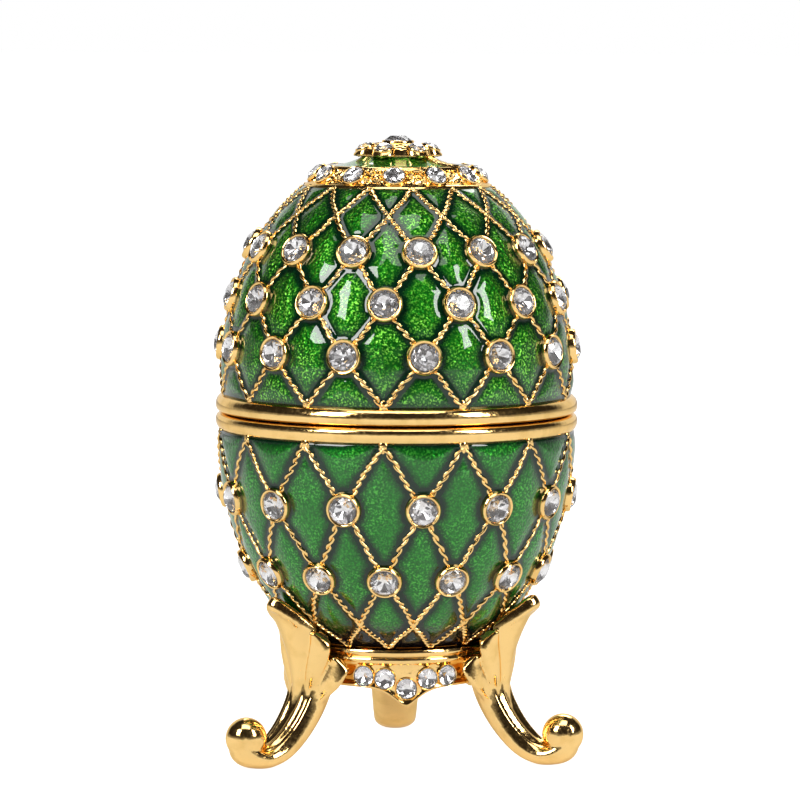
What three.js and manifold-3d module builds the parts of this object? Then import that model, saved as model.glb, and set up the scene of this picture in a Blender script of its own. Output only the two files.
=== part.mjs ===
// Jewelled egg trinket box: a hollow enamelled egg in two halves on a cast three-legged stand.
// Units are millimetres, +Z is up, the floor is z = 0. Azimuths are in degrees from the front
// (-Y) and grow towards +X. The egg's own axis is x = y = 0 until the last step, which sets the
// origin at the centre of the object's box on the floor.

import * as THREE from "three";
import { mergeVertices } from "three/addons/utils/BufferGeometryUtils.js";
import Module from "manifold-3d";

const wasm = await Module();
wasm.setup();

// The egg's outer form: two half ellipses that meet at the seam
const SEAM_HEIGHT = 40.1;
const LID_RADIUS = 20.2;
const LID_WIDEST_ABOVE_SEAM = 4.4;
const LID_DOME_RISE = 25.6;
const BOWL_RADIUS = 20.5;
const BOWL_WIDEST_BELOW_SEAM = 2.1;
const BOWL_DEPTH = 28.0;
const WALL = 1.3;

// The two gold rims and the lip that centres the lid
const RIM_RADIUS = 21.0;
const RIM_DEPTH = 2.0;
const RIM_ROUNDING = 0.6;
const LIP_RADIUS = 18.1;
const LIP_WALL = 0.9;
const LIP_HEIGHT = 1.3;
const LIP_CLEARANCE = 0.3;

// The wire lattice. Its wires cross at these shares of the way from the rim to the crown's
// band on the lid, and from the rim to the stand's collar on the bowl.
const WIRE_STARTS = 14;
const LATTICE_TURN = -4.2;
const LID_ROWS = [0.236, 0.476, 0.708, 0.874];
const LID_SETTINGS = ["seat", "seat", "seat", null];
const BOWL_ROWS = [0.304, 0.646, 0.879];
const BOWL_SETTINGS = ["seat", "stone", null];
const WIRE_WIDTH = 0.75;
const WIRE_PROUD = 0.35;
const PILLOW = 0.25;
const LATTICE_MARGIN = 0.1;

// Round settings and the stones in them
const BEZEL_RADIUS = 2.05;
const BEZEL_PROUD = 0.75;
const STONE_SIDES = 6;
const STONE_RADIUS = 1.58;
const STONE_FIT = 0.07;
const STONE_GLUE = 0.08;
const STONE_HEIGHT = 1.05;
const STONE_CROWN = 0.5;
const STONE_TABLE = 0.56;
const SEAT_DEPTH = 0.6;

// The crown of the lid: jewelled band, green skirt and rosette
const BAND_FOOT_RADIUS = 10.3;
const BAND_TOP_RADIUS = 8.35;
const BAND_FOOT_ABOVE_SEAM = 26.6;
const BAND_RISE = 1.9;
const BAND_LIP = 0.35;
const BAND_STONES = 12;
const BAND_TURN = -5;
const BAND_STONE_RADIUS = 1.15;
const ROSETTE_RADIUS = 3.75;
const ROSETTE_LOBE = 1.4;
const ROSETTE_LOBES = 6;
const LOBE_SIDES = 6;
const ROSETTE_TURN = -25;
const ROSETTE_RISE = 1.15;
const ROSETTE_THICK = 0.7;
const ROSETTE_STONE_RADIUS = 0.95;
const FINIAL_RISE = 1.0;
const STRAP_WIDTH = 1.3;
const STRAP_PROUD = 0.3;
const STRAP_TURN = 55;

// The stand: collar, apron and three legs
const COLLAR_ABOVE_BOTTOM = 3.6;
const COLLAR_SEAT = 1.1;
const COLLAR_RADIUS = 11.5;
const BEAD = 0.35;
const APRON_WALL = 1.5;
const APRON_DROP_AT_LEG = 4.3;
const APRON_DROP_AT_POINT = 6.2;
const APRON_STONES = 5;
const APRON_STONE_RADIUS = 1.1;
const APRON_STONE_STEP = 12.5;
const LEG_TURNS = [-54, 67, 180];
const FOOT_REACH = 21.0;
const BALL_RADIUS = 2.4;
const BALL_HEIGHT = 3.6;
const SOLE_HEIGHT = 1.3;
const LEAF_CLEARANCE = 0.3;
const LEAF_WALL = 1.25;

// How far parts that are cast as one run into each other
const SINK = 0.3;

const GOLD = { color: 0xd8a94a, roughness: 0.18, metalness: 1.0 };
const ENAMEL = { color: 0x0c6b24, roughness: 0.12, metalness: 0.3 };
const CRYSTAL = { color: 0xe9ecef, roughness: 0.05, metalness: 0.2 };

const COLUMNS = 2 * WIRE_STARTS;
const COLUMN_STEP = 360 / COLUMNS;
const UP = new THREE.Vector3(0, 0, 1);

function polar(radius, turn, height) {
  const angle = THREE.MathUtils.degToRad(turn);
  return new THREE.Vector3(radius * Math.sin(angle), -radius * Math.cos(angle), height);
}

// Outer radius of the lid's enamel at a height above the seam
function lidRadius(above) {
  const share = (above - LID_WIDEST_ABOVE_SEAM) / LID_DOME_RISE;
  return LID_RADIUS * Math.sqrt(1 - share * share);
}

function lidInnerRadius(above) {
  const share = (above - LID_WIDEST_ABOVE_SEAM) / (LID_DOME_RISE - WALL);
  return (LID_RADIUS - WALL) * Math.sqrt(1 - share * share);
}

// Outer radius of the bowl's enamel at a depth below the seam
function bowlRadius(below) {
  const share = Math.max(0, below - BOWL_WIDEST_BELOW_SEAM) / BOWL_DEPTH;
  return BOWL_RADIUS * Math.sqrt(Math.max(0, 1 - share * share));
}

function bowlInnerRadius(below) {
  const share = Math.max(0, below - BOWL_WIDEST_BELOW_SEAM) / (BOWL_DEPTH - WALL);
  return (BOWL_RADIUS - WALL) * Math.sqrt(Math.max(0, 1 - share * share));
}

// Triangles are collected as points, and shared points are merged when the solid is made
function addTriangle(faces, a, b, c) {
  if (a.distanceTo(b) > 1e-5 && b.distanceTo(c) > 1e-5 && c.distanceTo(a) > 1e-5) {
    faces.push(a, b, c);
  }
}

function joinRings(faces, first, second) {
  const count = first.length;
  for (let i = 0; i < count; i += 1) {
    const next = (i + 1) % count;
    addTriangle(faces, first[i], first[next], second[next]);
    addTriangle(faces, first[i], second[next], second[i]);
  }
}

function closeRing(faces, ring, facesUp) {
  for (let i = 1; i + 1 < ring.length; i += 1) {
    if (facesUp) {
      addTriangle(faces, ring[0], ring[i], ring[i + 1]);
    } else {
      addTriangle(faces, ring[0], ring[i + 1], ring[i]);
    }
  }
}

function geometryOf(faces) {
  const geometry = new THREE.BufferGeometry();
  geometry.setFromPoints(faces);
  return mergeVertices(geometry, 1e-4);
}

function solidOf(geometry) {
  const bare = geometry.clone();
  bare.deleteAttribute("normal");
  bare.deleteAttribute("uv");
  const merged = mergeVertices(bare, 1e-4);
  return new wasm.Manifold(new wasm.Mesh({
    numProp: 3,
    vertProperties: new Float32Array(merged.attributes.position.array),
    triVerts: new Uint32Array(merged.index.array),
  }));
}

function geometryFrom(solid) {
  const mesh = solid.getMesh();
  const geometry = new THREE.BufferGeometry();
  geometry.setAttribute("position", new THREE.BufferAttribute(mesh.vertProperties, 3));
  geometry.setIndex(new THREE.BufferAttribute(mesh.triVerts, 1));
  geometry.computeVertexNormals();
  return geometry;
}

function unite(solids) {
  return solids.reduce((whole, piece) => whole.add(piece));
}

// One ring of the egg's columns at a radius and height
function eggRing(radius, height) {
  return Array.from({ length: COLUMNS }, (_, i) => (
    polar(radius, LATTICE_TURN + i * COLUMN_STEP, height)
  ));
}

// A point on the egg's skin beside a surface frame, offset along the skin and then off it
function onSkin(frame, radiusAt, across, along, proud) {
  const flat = new THREE.Vector3(across, along, 0).applyMatrix4(frame);
  const turn = THREE.MathUtils.radToDeg(Math.atan2(flat.x, -flat.y));
  return polar(radiusAt(flat.z) + proud, turn, flat.z);
}

// One crossing of wires: where its four wires leave it, the feet of their flanks towards the
// cell above or below (upright) and beside (sideways), and the frame of its round setting
function crossingHub(rows, level, column, radiusAt) {
  const { height, setting } = rows[level];
  const turn = LATTICE_TURN + column * COLUMN_STEP;
  const frame = surfaceFrame(turn, height, radiusAt);
  const unframe = frame.clone().invert();
  const middle = polar(radiusAt(height) + WIRE_PROUD, turn, height);
  const half = WIRE_WIDTH / 2;
  const hub = { frame, setting, wires: {} };
  for (const [name, side, step] of [["ur", 1, 1], ["ul", -1, 1], ["dl", -1, -1], ["dr", 1, -1]]) {
    const neighbour = rows[level + step];
    if (neighbour) {
      const end = polar(radiusAt(neighbour.height), turn + side * COLUMN_STEP, neighbour.height);
      end.applyMatrix4(unframe).setZ(0).normalize();
      const wire = { crest: middle, upright: middle, sideways: middle };
      if (setting) {
        const across = end.x * BEZEL_RADIUS;
        const along = end.y * BEZEL_RADIUS;
        const offX = side * Math.abs(end.y) * half;
        const offY = -step * Math.abs(end.x) * half;
        wire.crest = onSkin(frame, radiusAt, across, along, WIRE_PROUD);
        wire.sideways = onSkin(frame, radiusAt, across + offX, along + offY, 0);
        wire.upright = onSkin(frame, radiusAt, across - offX, along - offY, 0);
      }
      wire.angle = Math.atan2(end.y, end.x);
      hub.wires[name] = wire;
    }
  }
  const inside = level > 0 && level < rows.length - 1;
  const { ur, ul, dl, dr } = hub.wires;
  if (setting) {
    hub.right = onSkin(frame, radiusAt, BEZEL_RADIUS, 0, 0);
    hub.left = onSkin(frame, radiusAt, -BEZEL_RADIUS, 0, 0);
  } else if (inside) {
    // The feet of a bare crossing lie where the edges of two neighbouring wires meet
    const foot = (x, y) => onSkin(frame, radiusAt, x, y, 0);
    ur.upright = foot(0, half / Math.abs(Math.cos(ur.angle)));
    ul.upright = ur.upright;
    dr.upright = foot(0, -half / Math.abs(Math.cos(dr.angle)));
    dl.upright = dr.upright;
    ur.sideways = foot(half / Math.abs(Math.sin(ur.angle)), 0);
    dr.sideways = ur.sideways;
    ul.sideways = foot(-half / Math.abs(Math.sin(ul.angle)), 0);
    dl.sideways = ul.sideways;
  }
  return hub;
}

// A setting's six-sided wall, its flat rim, and the seat in it or the stone fused to it
function addSetting(faces, hub) {
  const { ur, ul, dl, dr } = hub.wires;
  const circle = (radius, angles, proud) => angles.map((angle) => (
    new THREE.Vector3(radius * Math.cos(angle), radius * Math.sin(angle), proud)
      .applyMatrix4(hub.frame)
  ));
  const evenly = Array.from({ length: STONE_SIDES }, (_, k) => k * 2 * Math.PI / STONE_SIDES);
  const rim = circle(
    BEZEL_RADIUS,
    [0, ur.angle, ul.angle, Math.PI, dl.angle, dr.angle],
    BEZEL_PROUD,
  );
  const wallFeet = [
    [hub.right, ur.sideways, ur.crest],
    [ur.crest, ur.upright, ul.upright, ul.crest],
    [ul.crest, ul.sideways, hub.left],
    [hub.left, dl.sideways, dl.crest],
    [dl.crest, dl.upright, dr.upright, dr.crest],
    [dr.crest, dr.sideways, hub.right],
  ];
  wallFeet.forEach((feet, k) => {
    const from = rim[k];
    const to = rim[(k + 1) % rim.length];
    for (let i = 0; i + 1 < feet.length; i += 1) {
      addTriangle(faces, feet[i], feet[i + 1], from);
    }
    addTriangle(faces, feet.at(-1), to, from);
  });
  if (hub.setting === "seat") {
    const mouth = circle(STONE_RADIUS + STONE_FIT, evenly, BEZEL_PROUD);
    const floor = circle(STONE_RADIUS + STONE_FIT, evenly, BEZEL_PROUD - SEAT_DEPTH);
    joinInOrder(faces, [rim, mouth, floor]);
    closeRing(faces, floor, true);
  } else {
    const girdle = circle(STONE_RADIUS, evenly, BEZEL_PROUD);
    const table = circle(STONE_RADIUS * STONE_TABLE, evenly, BEZEL_PROUD + STONE_CROWN);
    joinInOrder(faces, [rim, girdle, table]);
    closeRing(faces, table, true);
  }
}

// A zone of crossing wires between two rings. Wires cross on every second column, and the cells
// between them are low pillows with a sloping flank up to each wire.
function addLattice(faces, rows, radiusAt) {
  const last = rows.length - 1;
  const isCrossing = (column, level) => (column + level) % 2 === 0;
  const hubs = rows.map((row, level) => Array.from({ length: COLUMNS }, (_, column) => (
    isCrossing(column, level) ? crossingHub(rows, level, column, radiusAt) : null
  )));
  const hubAt = (column, level) => hubs[level][(column + COLUMNS) % COLUMNS];
  const middleAt = (column, level) => {
    const height = rows[level].height;
    return polar(radiusAt(height) + PILLOW, LATTICE_TURN + column * COLUMN_STEP, height);
  };

  for (let level = 0; level <= last; level += 1) {
    for (let column = 0; column < COLUMNS; column += 1) {
      if (isCrossing(column, level)) {
        if (rows[level].setting) {
          addSetting(faces, hubAt(column, level));
        }
      } else {
        const middle = middleAt(column, level);
        const right = hubAt(column + 1, level);
        const left = hubAt(column - 1, level);
        // Each side of the cell runs along one wire, from one crossing to the next
        const sides = [];
        if (level < last) {
          const top = hubAt(column, level + 1);
          sides.push([right.wires.ul.sideways, right.wires.ul.crest,
            top.wires.dr.crest, top.wires.dr.upright]);
          sides.push([top.wires.dl.upright, top.wires.dl.crest,
            left.wires.ur.crest, left.wires.ur.sideways]);
        }
        if (level > 0) {
          const bottom = hubAt(column, level - 1);
          sides.push([left.wires.dr.sideways, left.wires.dr.crest,
            bottom.wires.ul.crest, bottom.wires.ul.upright]);
          sides.push([bottom.wires.ur.upright, bottom.wires.ur.crest,
            right.wires.dl.crest, right.wires.dl.sideways]);
        }
        const whole = sides.length === 4;
        sides.forEach(([fromFoot, from, to, toFoot], k) => {
          addTriangle(faces, fromFoot, from, to);
          addTriangle(faces, fromFoot, to, toFoot);
          addTriangle(faces, middle, fromFoot, toFoot);
          if (whole || k === 0) {
            const corner = [toFoot, sides[(k + 1) % sides.length][0]];
            const hub = [null, left, null, right][k];
            if (whole && hub?.setting) {
              corner.splice(1, 0, hub === left ? hub.right : hub.left);
            }
            for (let i = 0; i + 1 < corner.length; i += 1) {
              addTriangle(faces, middle, corner[i], corner[i + 1]);
            }
          }
        });
      }
    }
  }
  const edge = (level) => Array.from({ length: COLUMNS }, (_, column) => (
    isCrossing(column, level)
      ? polar(radiusAt(rows[level].height) + WIRE_PROUD,
        LATTICE_TURN + column * COLUMN_STEP, rows[level].height)
      : middleAt(column, level)
  ));
  return { first: edge(0), last: edge(last) };
}

function joinInOrder(faces, rings) {
  for (let i = 0; i + 1 < rings.length; i += 1) {
    joinRings(faces, rings[i], rings[i + 1]);
  }
}

// A frame on the egg's surface: its Z is the outward normal, its X runs round the egg
function surfaceFrame(turn, height, radiusAt) {
  const nudge = 0.01;
  const origin = polar(radiusAt(height), turn, height);
  const round = polar(1, turn + 90, 0);
  const slope = polar(radiusAt(height + nudge), turn, height + nudge).sub(origin).normalize();
  const normal = new THREE.Vector3().crossVectors(round, slope).normalize();
  return new THREE.Matrix4().makeBasis(round, slope, normal).setPosition(origin);
}

// A round or faceted plug that stands on a surface frame between two heights
function plug(frame, bottomRadius, topRadius, from, to, sides) {
  const shape = new THREE.CylinderGeometry(topRadius, bottomRadius, to - from, sides);
  shape.rotateX(Math.PI / 2);
  shape.rotateZ(Math.PI / 2);
  shape.translate(0, 0, (from + to) / 2);
  shape.applyMatrix4(frame);
  return solidOf(shape);
}

// A small stone fused to the metal that holds it
function fusedStone(frame, radius, from) {
  const to = from + radius * STONE_HEIGHT / STONE_RADIUS * 0.6;
  return plug(frame, radius, radius * STONE_TABLE, from, to, STONE_SIDES);
}

// A loose stone lying in its seat
function stoneMesh(name, frame, proud) {
  const faces = [];
  const outline = (radius, up) => Array.from({ length: STONE_SIDES }, (_, k) => {
    const angle = k * 2 * Math.PI / STONE_SIDES;
    return new THREE.Vector3(radius * Math.cos(angle), radius * Math.sin(angle), up);
  });
  const girdle = outline(STONE_RADIUS, 0);
  const table = outline(STONE_RADIUS * STONE_TABLE, STONE_HEIGHT);
  joinRings(faces, girdle, table);
  closeRing(faces, girdle, false);
  closeRing(faces, table, true);
  const mesh = new THREE.Mesh(geometryOf(faces), new THREE.MeshStandardMaterial(CRYSTAL));
  mesh.name = name;
  const seat = new THREE.Matrix4().makeTranslation(0, 0, proud - SEAT_DEPTH + STONE_GLUE);
  frame.clone().multiply(seat).decompose(mesh.position, mesh.quaternion, mesh.scale);
  return mesh;
}

// The frames of one row of lattice crossings
function rowFrames(height, level, radiusAt) {
  return Array.from({ length: WIRE_STARTS }, (_, k) => {
    const column = 2 * k + (level % 2);
    return surfaceFrame(LATTICE_TURN + column * COLUMN_STEP, height, radiusAt);
  });
}

// The lid
const lidRadiusAt = (height) => lidRadius(height - SEAM_HEIGHT);
const BAND_FOOT = SEAM_HEIGHT + BAND_FOOT_ABOVE_SEAM;
const lidLatticeFoot = SEAM_HEIGHT + RIM_DEPTH + LATTICE_MARGIN;
const lidLatticeTop = BAND_FOOT - BAND_LIP;
const lidRowHeights = LID_ROWS.map((row) => (
  THREE.MathUtils.lerp(lidLatticeFoot, lidLatticeTop, row)
));
const BAND_TOP = BAND_FOOT + BAND_RISE;
const ROSETTE_FOOT = BAND_TOP + ROSETTE_RISE;
const ROSETTE_TOP = ROSETTE_FOOT + ROSETTE_THICK;
const FINIAL_TOP = ROSETTE_TOP + FINIAL_RISE;
const CEILING = BAND_FOOT - 0.4;

// The rounded outer edge of a rim, from the seam outwards to where the enamel starts
function rimRings(direction, enamelRadius) {
  const seam = SEAM_HEIGHT;
  const at = (radius, away) => eggRing(radius, seam + direction * away);
  return [
    at(RIM_RADIUS - RIM_ROUNDING, 0),
    at(RIM_RADIUS - 0.3 * RIM_ROUNDING, 0.35 * RIM_ROUNDING),
    at(RIM_RADIUS, RIM_ROUNDING),
    at(RIM_RADIUS, RIM_DEPTH - RIM_ROUNDING),
    at(RIM_RADIUS - 0.4 * RIM_ROUNDING, RIM_DEPTH - 0.25 * RIM_ROUNDING),
    at(enamelRadius + 0.1, RIM_DEPTH),
  ];
}

function lidShell() {
  const faces = [];
  const wallRadius = LIP_RADIUS + LIP_CLEARANCE;
  const innerHeights = [1, 0.84, 0.5].map((share) => (
    LIP_HEIGHT + LIP_CLEARANCE + share * (CEILING - SEAM_HEIGHT - LIP_HEIGHT - LIP_CLEARANCE)
  ));
  const inner = [eggRing(0, CEILING)];
  for (const above of innerHeights) {
    inner.push(eggRing(lidInnerRadius(above), SEAM_HEIGHT + above));
  }
  inner.push(eggRing(wallRadius, SEAM_HEIGHT + LIP_HEIGHT + LIP_CLEARANCE));
  inner.push(eggRing(wallRadius, SEAM_HEIGHT));
  joinInOrder(faces, inner);

  const rim = rimRings(1, lidRadius(RIM_DEPTH));
  joinRings(faces, inner.at(-1), rim[0]);
  joinInOrder(faces, rim);

  const rows = [
    { height: lidLatticeFoot },
    ...lidRowHeights.map((height, k) => ({ height, setting: LID_SETTINGS[k] })),
    { height: lidLatticeTop },
  ];
  const lattice = addLattice(faces, rows, lidRadiusAt);
  joinRings(faces, rim.at(-1), lattice.first);

  const skirt = (share) => eggRing(
    THREE.MathUtils.lerp(BAND_TOP_RADIUS - 0.3, ROSETTE_RADIUS + 0.9, share),
    BAND_TOP + 0.1 + (ROSETTE_RISE - 0.1) * share * share,
  );
  const crown = [
    eggRing(BAND_FOOT_RADIUS + 2 * BAND_LIP, BAND_FOOT - 0.6 * BAND_LIP),
    eggRing(BAND_FOOT_RADIUS + BAND_LIP, BAND_FOOT),
    eggRing(BAND_FOOT_RADIUS, BAND_FOOT + 0.15),
    eggRing(BAND_TOP_RADIUS, BAND_TOP),
    skirt(0),
    skirt(0.5),
    skirt(1),
    eggRing(0, ROSETTE_FOOT),
  ];
  joinRings(faces, lattice.last, crown[0]);
  joinInOrder(faces, crown);
  return solidOf(geometryOf(faces));
}

function lathe(points, sides) {
  const shape = new THREE.LatheGeometry(points.map(([r, z]) => new THREE.Vector2(r, z)), sides);
  shape.rotateX(Math.PI / 2);
  return solidOf(shape);
}

function levelFrame(radius, turn, height) {
  const round = polar(1, turn + 90, 0);
  const inward = polar(-1, turn, 0);
  return new THREE.Matrix4().makeBasis(round, inward, UP).setPosition(polar(radius, turn, height));
}

const finialFrame = levelFrame(0, 0, FINIAL_TOP);

// The six-lobed plate on top, domed up to the seat of the finial stone
function rosette() {
  const dome = lathe([
    [0, ROSETTE_FOOT - SINK],
    [ROSETTE_RADIUS + SINK, ROSETTE_FOOT - SINK],
    [ROSETTE_RADIUS, ROSETTE_TOP],
    [BEZEL_RADIUS + 0.35, FINIAL_TOP - 0.3],
    [BEZEL_RADIUS, FINIAL_TOP],
    [0, FINIAL_TOP],
  ], 12);
  const pieces = [dome];
  for (let k = 0; k < ROSETTE_LOBES; k += 1) {
    const turn = ROSETTE_TURN + k * 360 / ROSETTE_LOBES;
    const frame = levelFrame(ROSETTE_RADIUS, turn, ROSETTE_TOP);
    pieces.push(plug(frame, ROSETTE_LOBE, ROSETTE_LOBE, -ROSETTE_THICK - 0.1, 0.1, LOBE_SIDES));
    pieces.push(fusedStone(frame, ROSETTE_STONE_RADIUS, 0));
  }
  return unite(pieces);
}

// The textured strap that joins the rosette to the band across the green skirt
function strap() {
  const outer = BAND_TOP_RADIUS - 0.1;
  const inner = ROSETTE_RADIUS;
  const turn = polar(1, STRAP_TURN, 0);
  const side = polar(STRAP_WIDTH / 2, STRAP_TURN + 90, 0);
  const rings = [0, 0.5, 1].map((share) => {
    const middle = turn.clone().multiplyScalar(THREE.MathUtils.lerp(outer, inner, share));
    middle.z = BAND_TOP + (ROSETTE_RISE - 0.1) * share * share;
    const corner = (sideways, lift) => middle.clone().addScaledVector(side, sideways)
      .addScaledVector(UP, lift);
    const lift = STRAP_PROUD;
    return [corner(-1, -0.4), corner(-1, lift), corner(1, lift), corner(1, -0.4)];
  });
  return loft(rings);
}

// A closed body through a row of rings with equal numbers of points
function loft(rings) {
  const faces = [];
  joinInOrder(faces, rings);
  closeRing(faces, rings[0], false);
  closeRing(faces, rings.at(-1), true);
  const solid = solidOf(geometryOf(faces));
  if (solid.volume() > 0) {
    return solid;
  }
  const turned = rings.map((ring) => ring.toReversed());
  return loft(turned);
}

// The band's face is a cone, so its stones lean outwards with it
function bandFrames() {
  const faceRadius = (height) => THREE.MathUtils.mapLinear(
    height,
    BAND_FOOT,
    BAND_TOP,
    BAND_FOOT_RADIUS,
    BAND_TOP_RADIUS,
  );
  return Array.from({ length: BAND_STONES }, (_, k) => surfaceFrame(
    BAND_TURN + k * 360 / BAND_STONES,
    (BAND_FOOT + BAND_TOP) / 2,
    faceRadius,
  ));
}

const lidStoneRows = ["lower", "middle", "upper"].map((name, i) => ({
  name,
  frames: rowFrames(lidRowHeights[i], i + 1, lidRadiusAt),
}));

function lid() {
  const stones = bandFrames().map((frame) => fusedStone(frame, BAND_STONE_RADIUS, -SINK));
  const radius = STONE_RADIUS + STONE_FIT;
  const seat = plug(finialFrame, radius, radius, -SEAT_DEPTH, 1, STONE_SIDES);
  return unite([lidShell(), rosette(), strap(), ...stones]).subtract(seat);
}

// The bowl
const bowlRadiusAt = (height) => bowlRadius(SEAM_HEIGHT - height);
const BOWL_BOTTOM = SEAM_HEIGHT - BOWL_WIDEST_BELOW_SEAM - BOWL_DEPTH;
const COLLAR_TOP = BOWL_BOTTOM + COLLAR_ABOVE_BOTTOM;
const COLLAR_FOOT = COLLAR_TOP - COLLAR_SEAT;
const bowlLatticeFoot = COLLAR_TOP + BEAD;
const bowlLatticeTop = SEAM_HEIGHT - RIM_DEPTH - LATTICE_MARGIN;
const bowlRowHeights = BOWL_ROWS.map((row) => (
  THREE.MathUtils.lerp(bowlLatticeTop, bowlLatticeFoot, row)
));

function bowlShell() {
  const faces = [];
  const low = (COLLAR_FOOT + BOWL_BOTTOM) / 2;
  const under = [
    eggRing(0, BOWL_BOTTOM),
    eggRing(bowlRadiusAt(low), low),
    eggRing(bowlRadiusAt(COLLAR_FOOT), COLLAR_FOOT),
    eggRing(bowlRadiusAt(COLLAR_TOP), COLLAR_TOP),
  ];
  joinInOrder(faces, under);

  const rows = bowlRowHeights.map((height, k) => ({ height, setting: BOWL_SETTINGS[k] }));
  const lattice = addLattice(
    faces,
    [{ height: bowlLatticeFoot }, ...rows.toReversed(), { height: bowlLatticeTop }],
    bowlRadiusAt,
  );
  joinRings(faces, under.at(-1), lattice.first);

  const rim = rimRings(-1, bowlRadius(RIM_DEPTH)).toReversed();
  joinRings(faces, lattice.last, rim[0]);
  joinInOrder(faces, rim);

  const lipInner = LIP_RADIUS - LIP_WALL;
  const inside = [
    eggRing(LIP_RADIUS, SEAM_HEIGHT),
    eggRing(LIP_RADIUS, SEAM_HEIGHT + LIP_HEIGHT),
    eggRing(lipInner, SEAM_HEIGHT + LIP_HEIGHT),
    eggRing(lipInner, SEAM_HEIGHT - RIM_DEPTH),
  ];
  const floor = BOWL_WIDEST_BELOW_SEAM + BOWL_DEPTH - WALL;
  for (const share of [0.3, 0.55, 0.75, 0.91]) {
    const below = share * floor;
    const radius = Math.min(lipInner, bowlInnerRadius(below));
    inside.push(eggRing(radius, SEAM_HEIGHT - below));
  }
  inside.push(eggRing(0, SEAM_HEIGHT - floor));
  joinRings(faces, rim.at(-1), inside[0]);
  joinInOrder(faces, inside);
  return solidOf(geometryOf(faces));
}

const bowlStoneFrames = rowFrames(bowlRowHeights[0], 1, bowlRadiusAt);

// The stand. The apron hangs lowest half way between two legs.
function apronFoot(turn) {
  const count = LEG_TURNS.length;
  let share = 1;
  for (let k = 0; k < count; k += 1) {
    const from = LEG_TURNS[k];
    const to = LEG_TURNS[(k + 1) % count] + (k + 1 === count ? 360 : 0);
    const along = ((turn - from) % 360 + 360) % 360;
    if (along <= to - from) {
      share = Math.abs(along - (to - from) / 2) / ((to - from) / 2);
    }
  }
  return COLLAR_TOP - THREE.MathUtils.lerp(APRON_DROP_AT_POINT, APRON_DROP_AT_LEG, share);
}

function apronRing(radius) {
  return Array.from({ length: COLUMNS }, (_, i) => {
    const turn = LATTICE_TURN + i * COLUMN_STEP;
    return polar(radius, turn, apronFoot(turn));
  });
}

function collar() {
  const faces = [];
  const apronRadius = COLLAR_RADIUS - BEAD;
  const innerRadius = apronRadius - APRON_WALL;
  const seatTop = eggRing(bowlRadiusAt(COLLAR_TOP), COLLAR_TOP);
  const seatFoot = eggRing(bowlRadiusAt(COLLAR_FOOT), COLLAR_FOOT);
  const rings = [
    seatFoot,
    eggRing(innerRadius, COLLAR_FOOT - 0.7),
    apronRing(innerRadius),
    apronRing(apronRadius),
    eggRing(apronRadius, COLLAR_TOP - 5 * BEAD),
    eggRing(COLLAR_RADIUS, COLLAR_TOP - 4 * BEAD),
    eggRing(apronRadius, COLLAR_TOP - 3 * BEAD),
    eggRing(COLLAR_RADIUS, COLLAR_TOP - BEAD),
    eggRing(apronRadius, COLLAR_TOP + 0.1),
    seatTop,
    seatFoot,
  ];
  joinInOrder(faces, rings);
  return solidOf(geometryOf(faces));
}

// The stones between two legs follow the apron's pointed lower edge
function apronStones() {
  const stones = [];
  LEG_TURNS.forEach((from, k) => {
    const to = k + 1 < LEG_TURNS.length ? LEG_TURNS[k + 1] : LEG_TURNS[0] + 360;
    for (let i = 0; i < APRON_STONES; i += 1) {
      const turn = (from + to) / 2 + (i - (APRON_STONES - 1) / 2) * APRON_STONE_STEP;
      const height = apronFoot(turn) + APRON_STONE_RADIUS + 0.7;
      const frame = surfaceFrame(turn, height, () => COLLAR_RADIUS - BEAD);
      stones.push(fusedStone(frame, APRON_STONE_RADIUS, -SINK));
    }
  });
  return stones;
}

// A leg is drawn in its own plane: x runs outwards from the egg's axis, y sideways, z up. The
// stations of its stem are shares of the reach from collar to foot and of the height from sole
// to collar.
const STEM = [
  { out: 0, up: 0.886, thick: 1.6, wide: 3.55 },
  { out: 0.03, up: 0.675, thick: 2.25, wide: 3.35 },
  { out: 0.125, up: 0.455, thick: 1.9, wide: 2.8 },
  { out: 0.305, up: 0.236, thick: 1.6, wide: 2.55 },
  { out: 0.515, up: 0.073, thick: 1.55, wide: 2.5 },
  { out: 0.715, up: 0, thick: 1.55, wide: 2.55 },
  { out: 0.875, up: 0, thick: 1.6, wide: 2.55 },
  { out: 1, up: 0.081, thick: 1.5, wide: 2.4 },
];
const STEM_SIDES = 8;

function stem() {
  const centres = STEM.map((station) => new THREE.Vector3(
    THREE.MathUtils.lerp(COLLAR_RADIUS, FOOT_REACH, station.out),
    0,
    THREE.MathUtils.lerp(SOLE_HEIGHT, COLLAR_TOP, station.up),
  ));
  const rings = STEM.map((station, i) => {
    const before = centres[Math.max(0, i - 1)];
    const after = centres[Math.min(STEM.length - 1, i + 1)];
    const along = after.clone().sub(before).normalize();
    const outward = new THREE.Vector3(0, 1, 0).cross(along);
    return Array.from({ length: STEM_SIDES }, (_, k) => {
      const angle = (k + 0.5) * 2 * Math.PI / STEM_SIDES;
      const point = centres[i].clone()
        .addScaledVector(outward, station.thick * Math.cos(angle));
      point.y = station.wide * Math.sin(angle);
      point.z = Math.max(0, point.z);
      return point;
    });
  });
  return loft(rings);
}

function ballFoot() {
  const ball = new THREE.SphereGeometry(BALL_RADIUS, 8, 6);
  ball.rotateX(Math.PI / 2);
  ball.translate(FOOT_REACH, 0, BALL_HEIGHT);
  return solidOf(ball);
}

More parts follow.
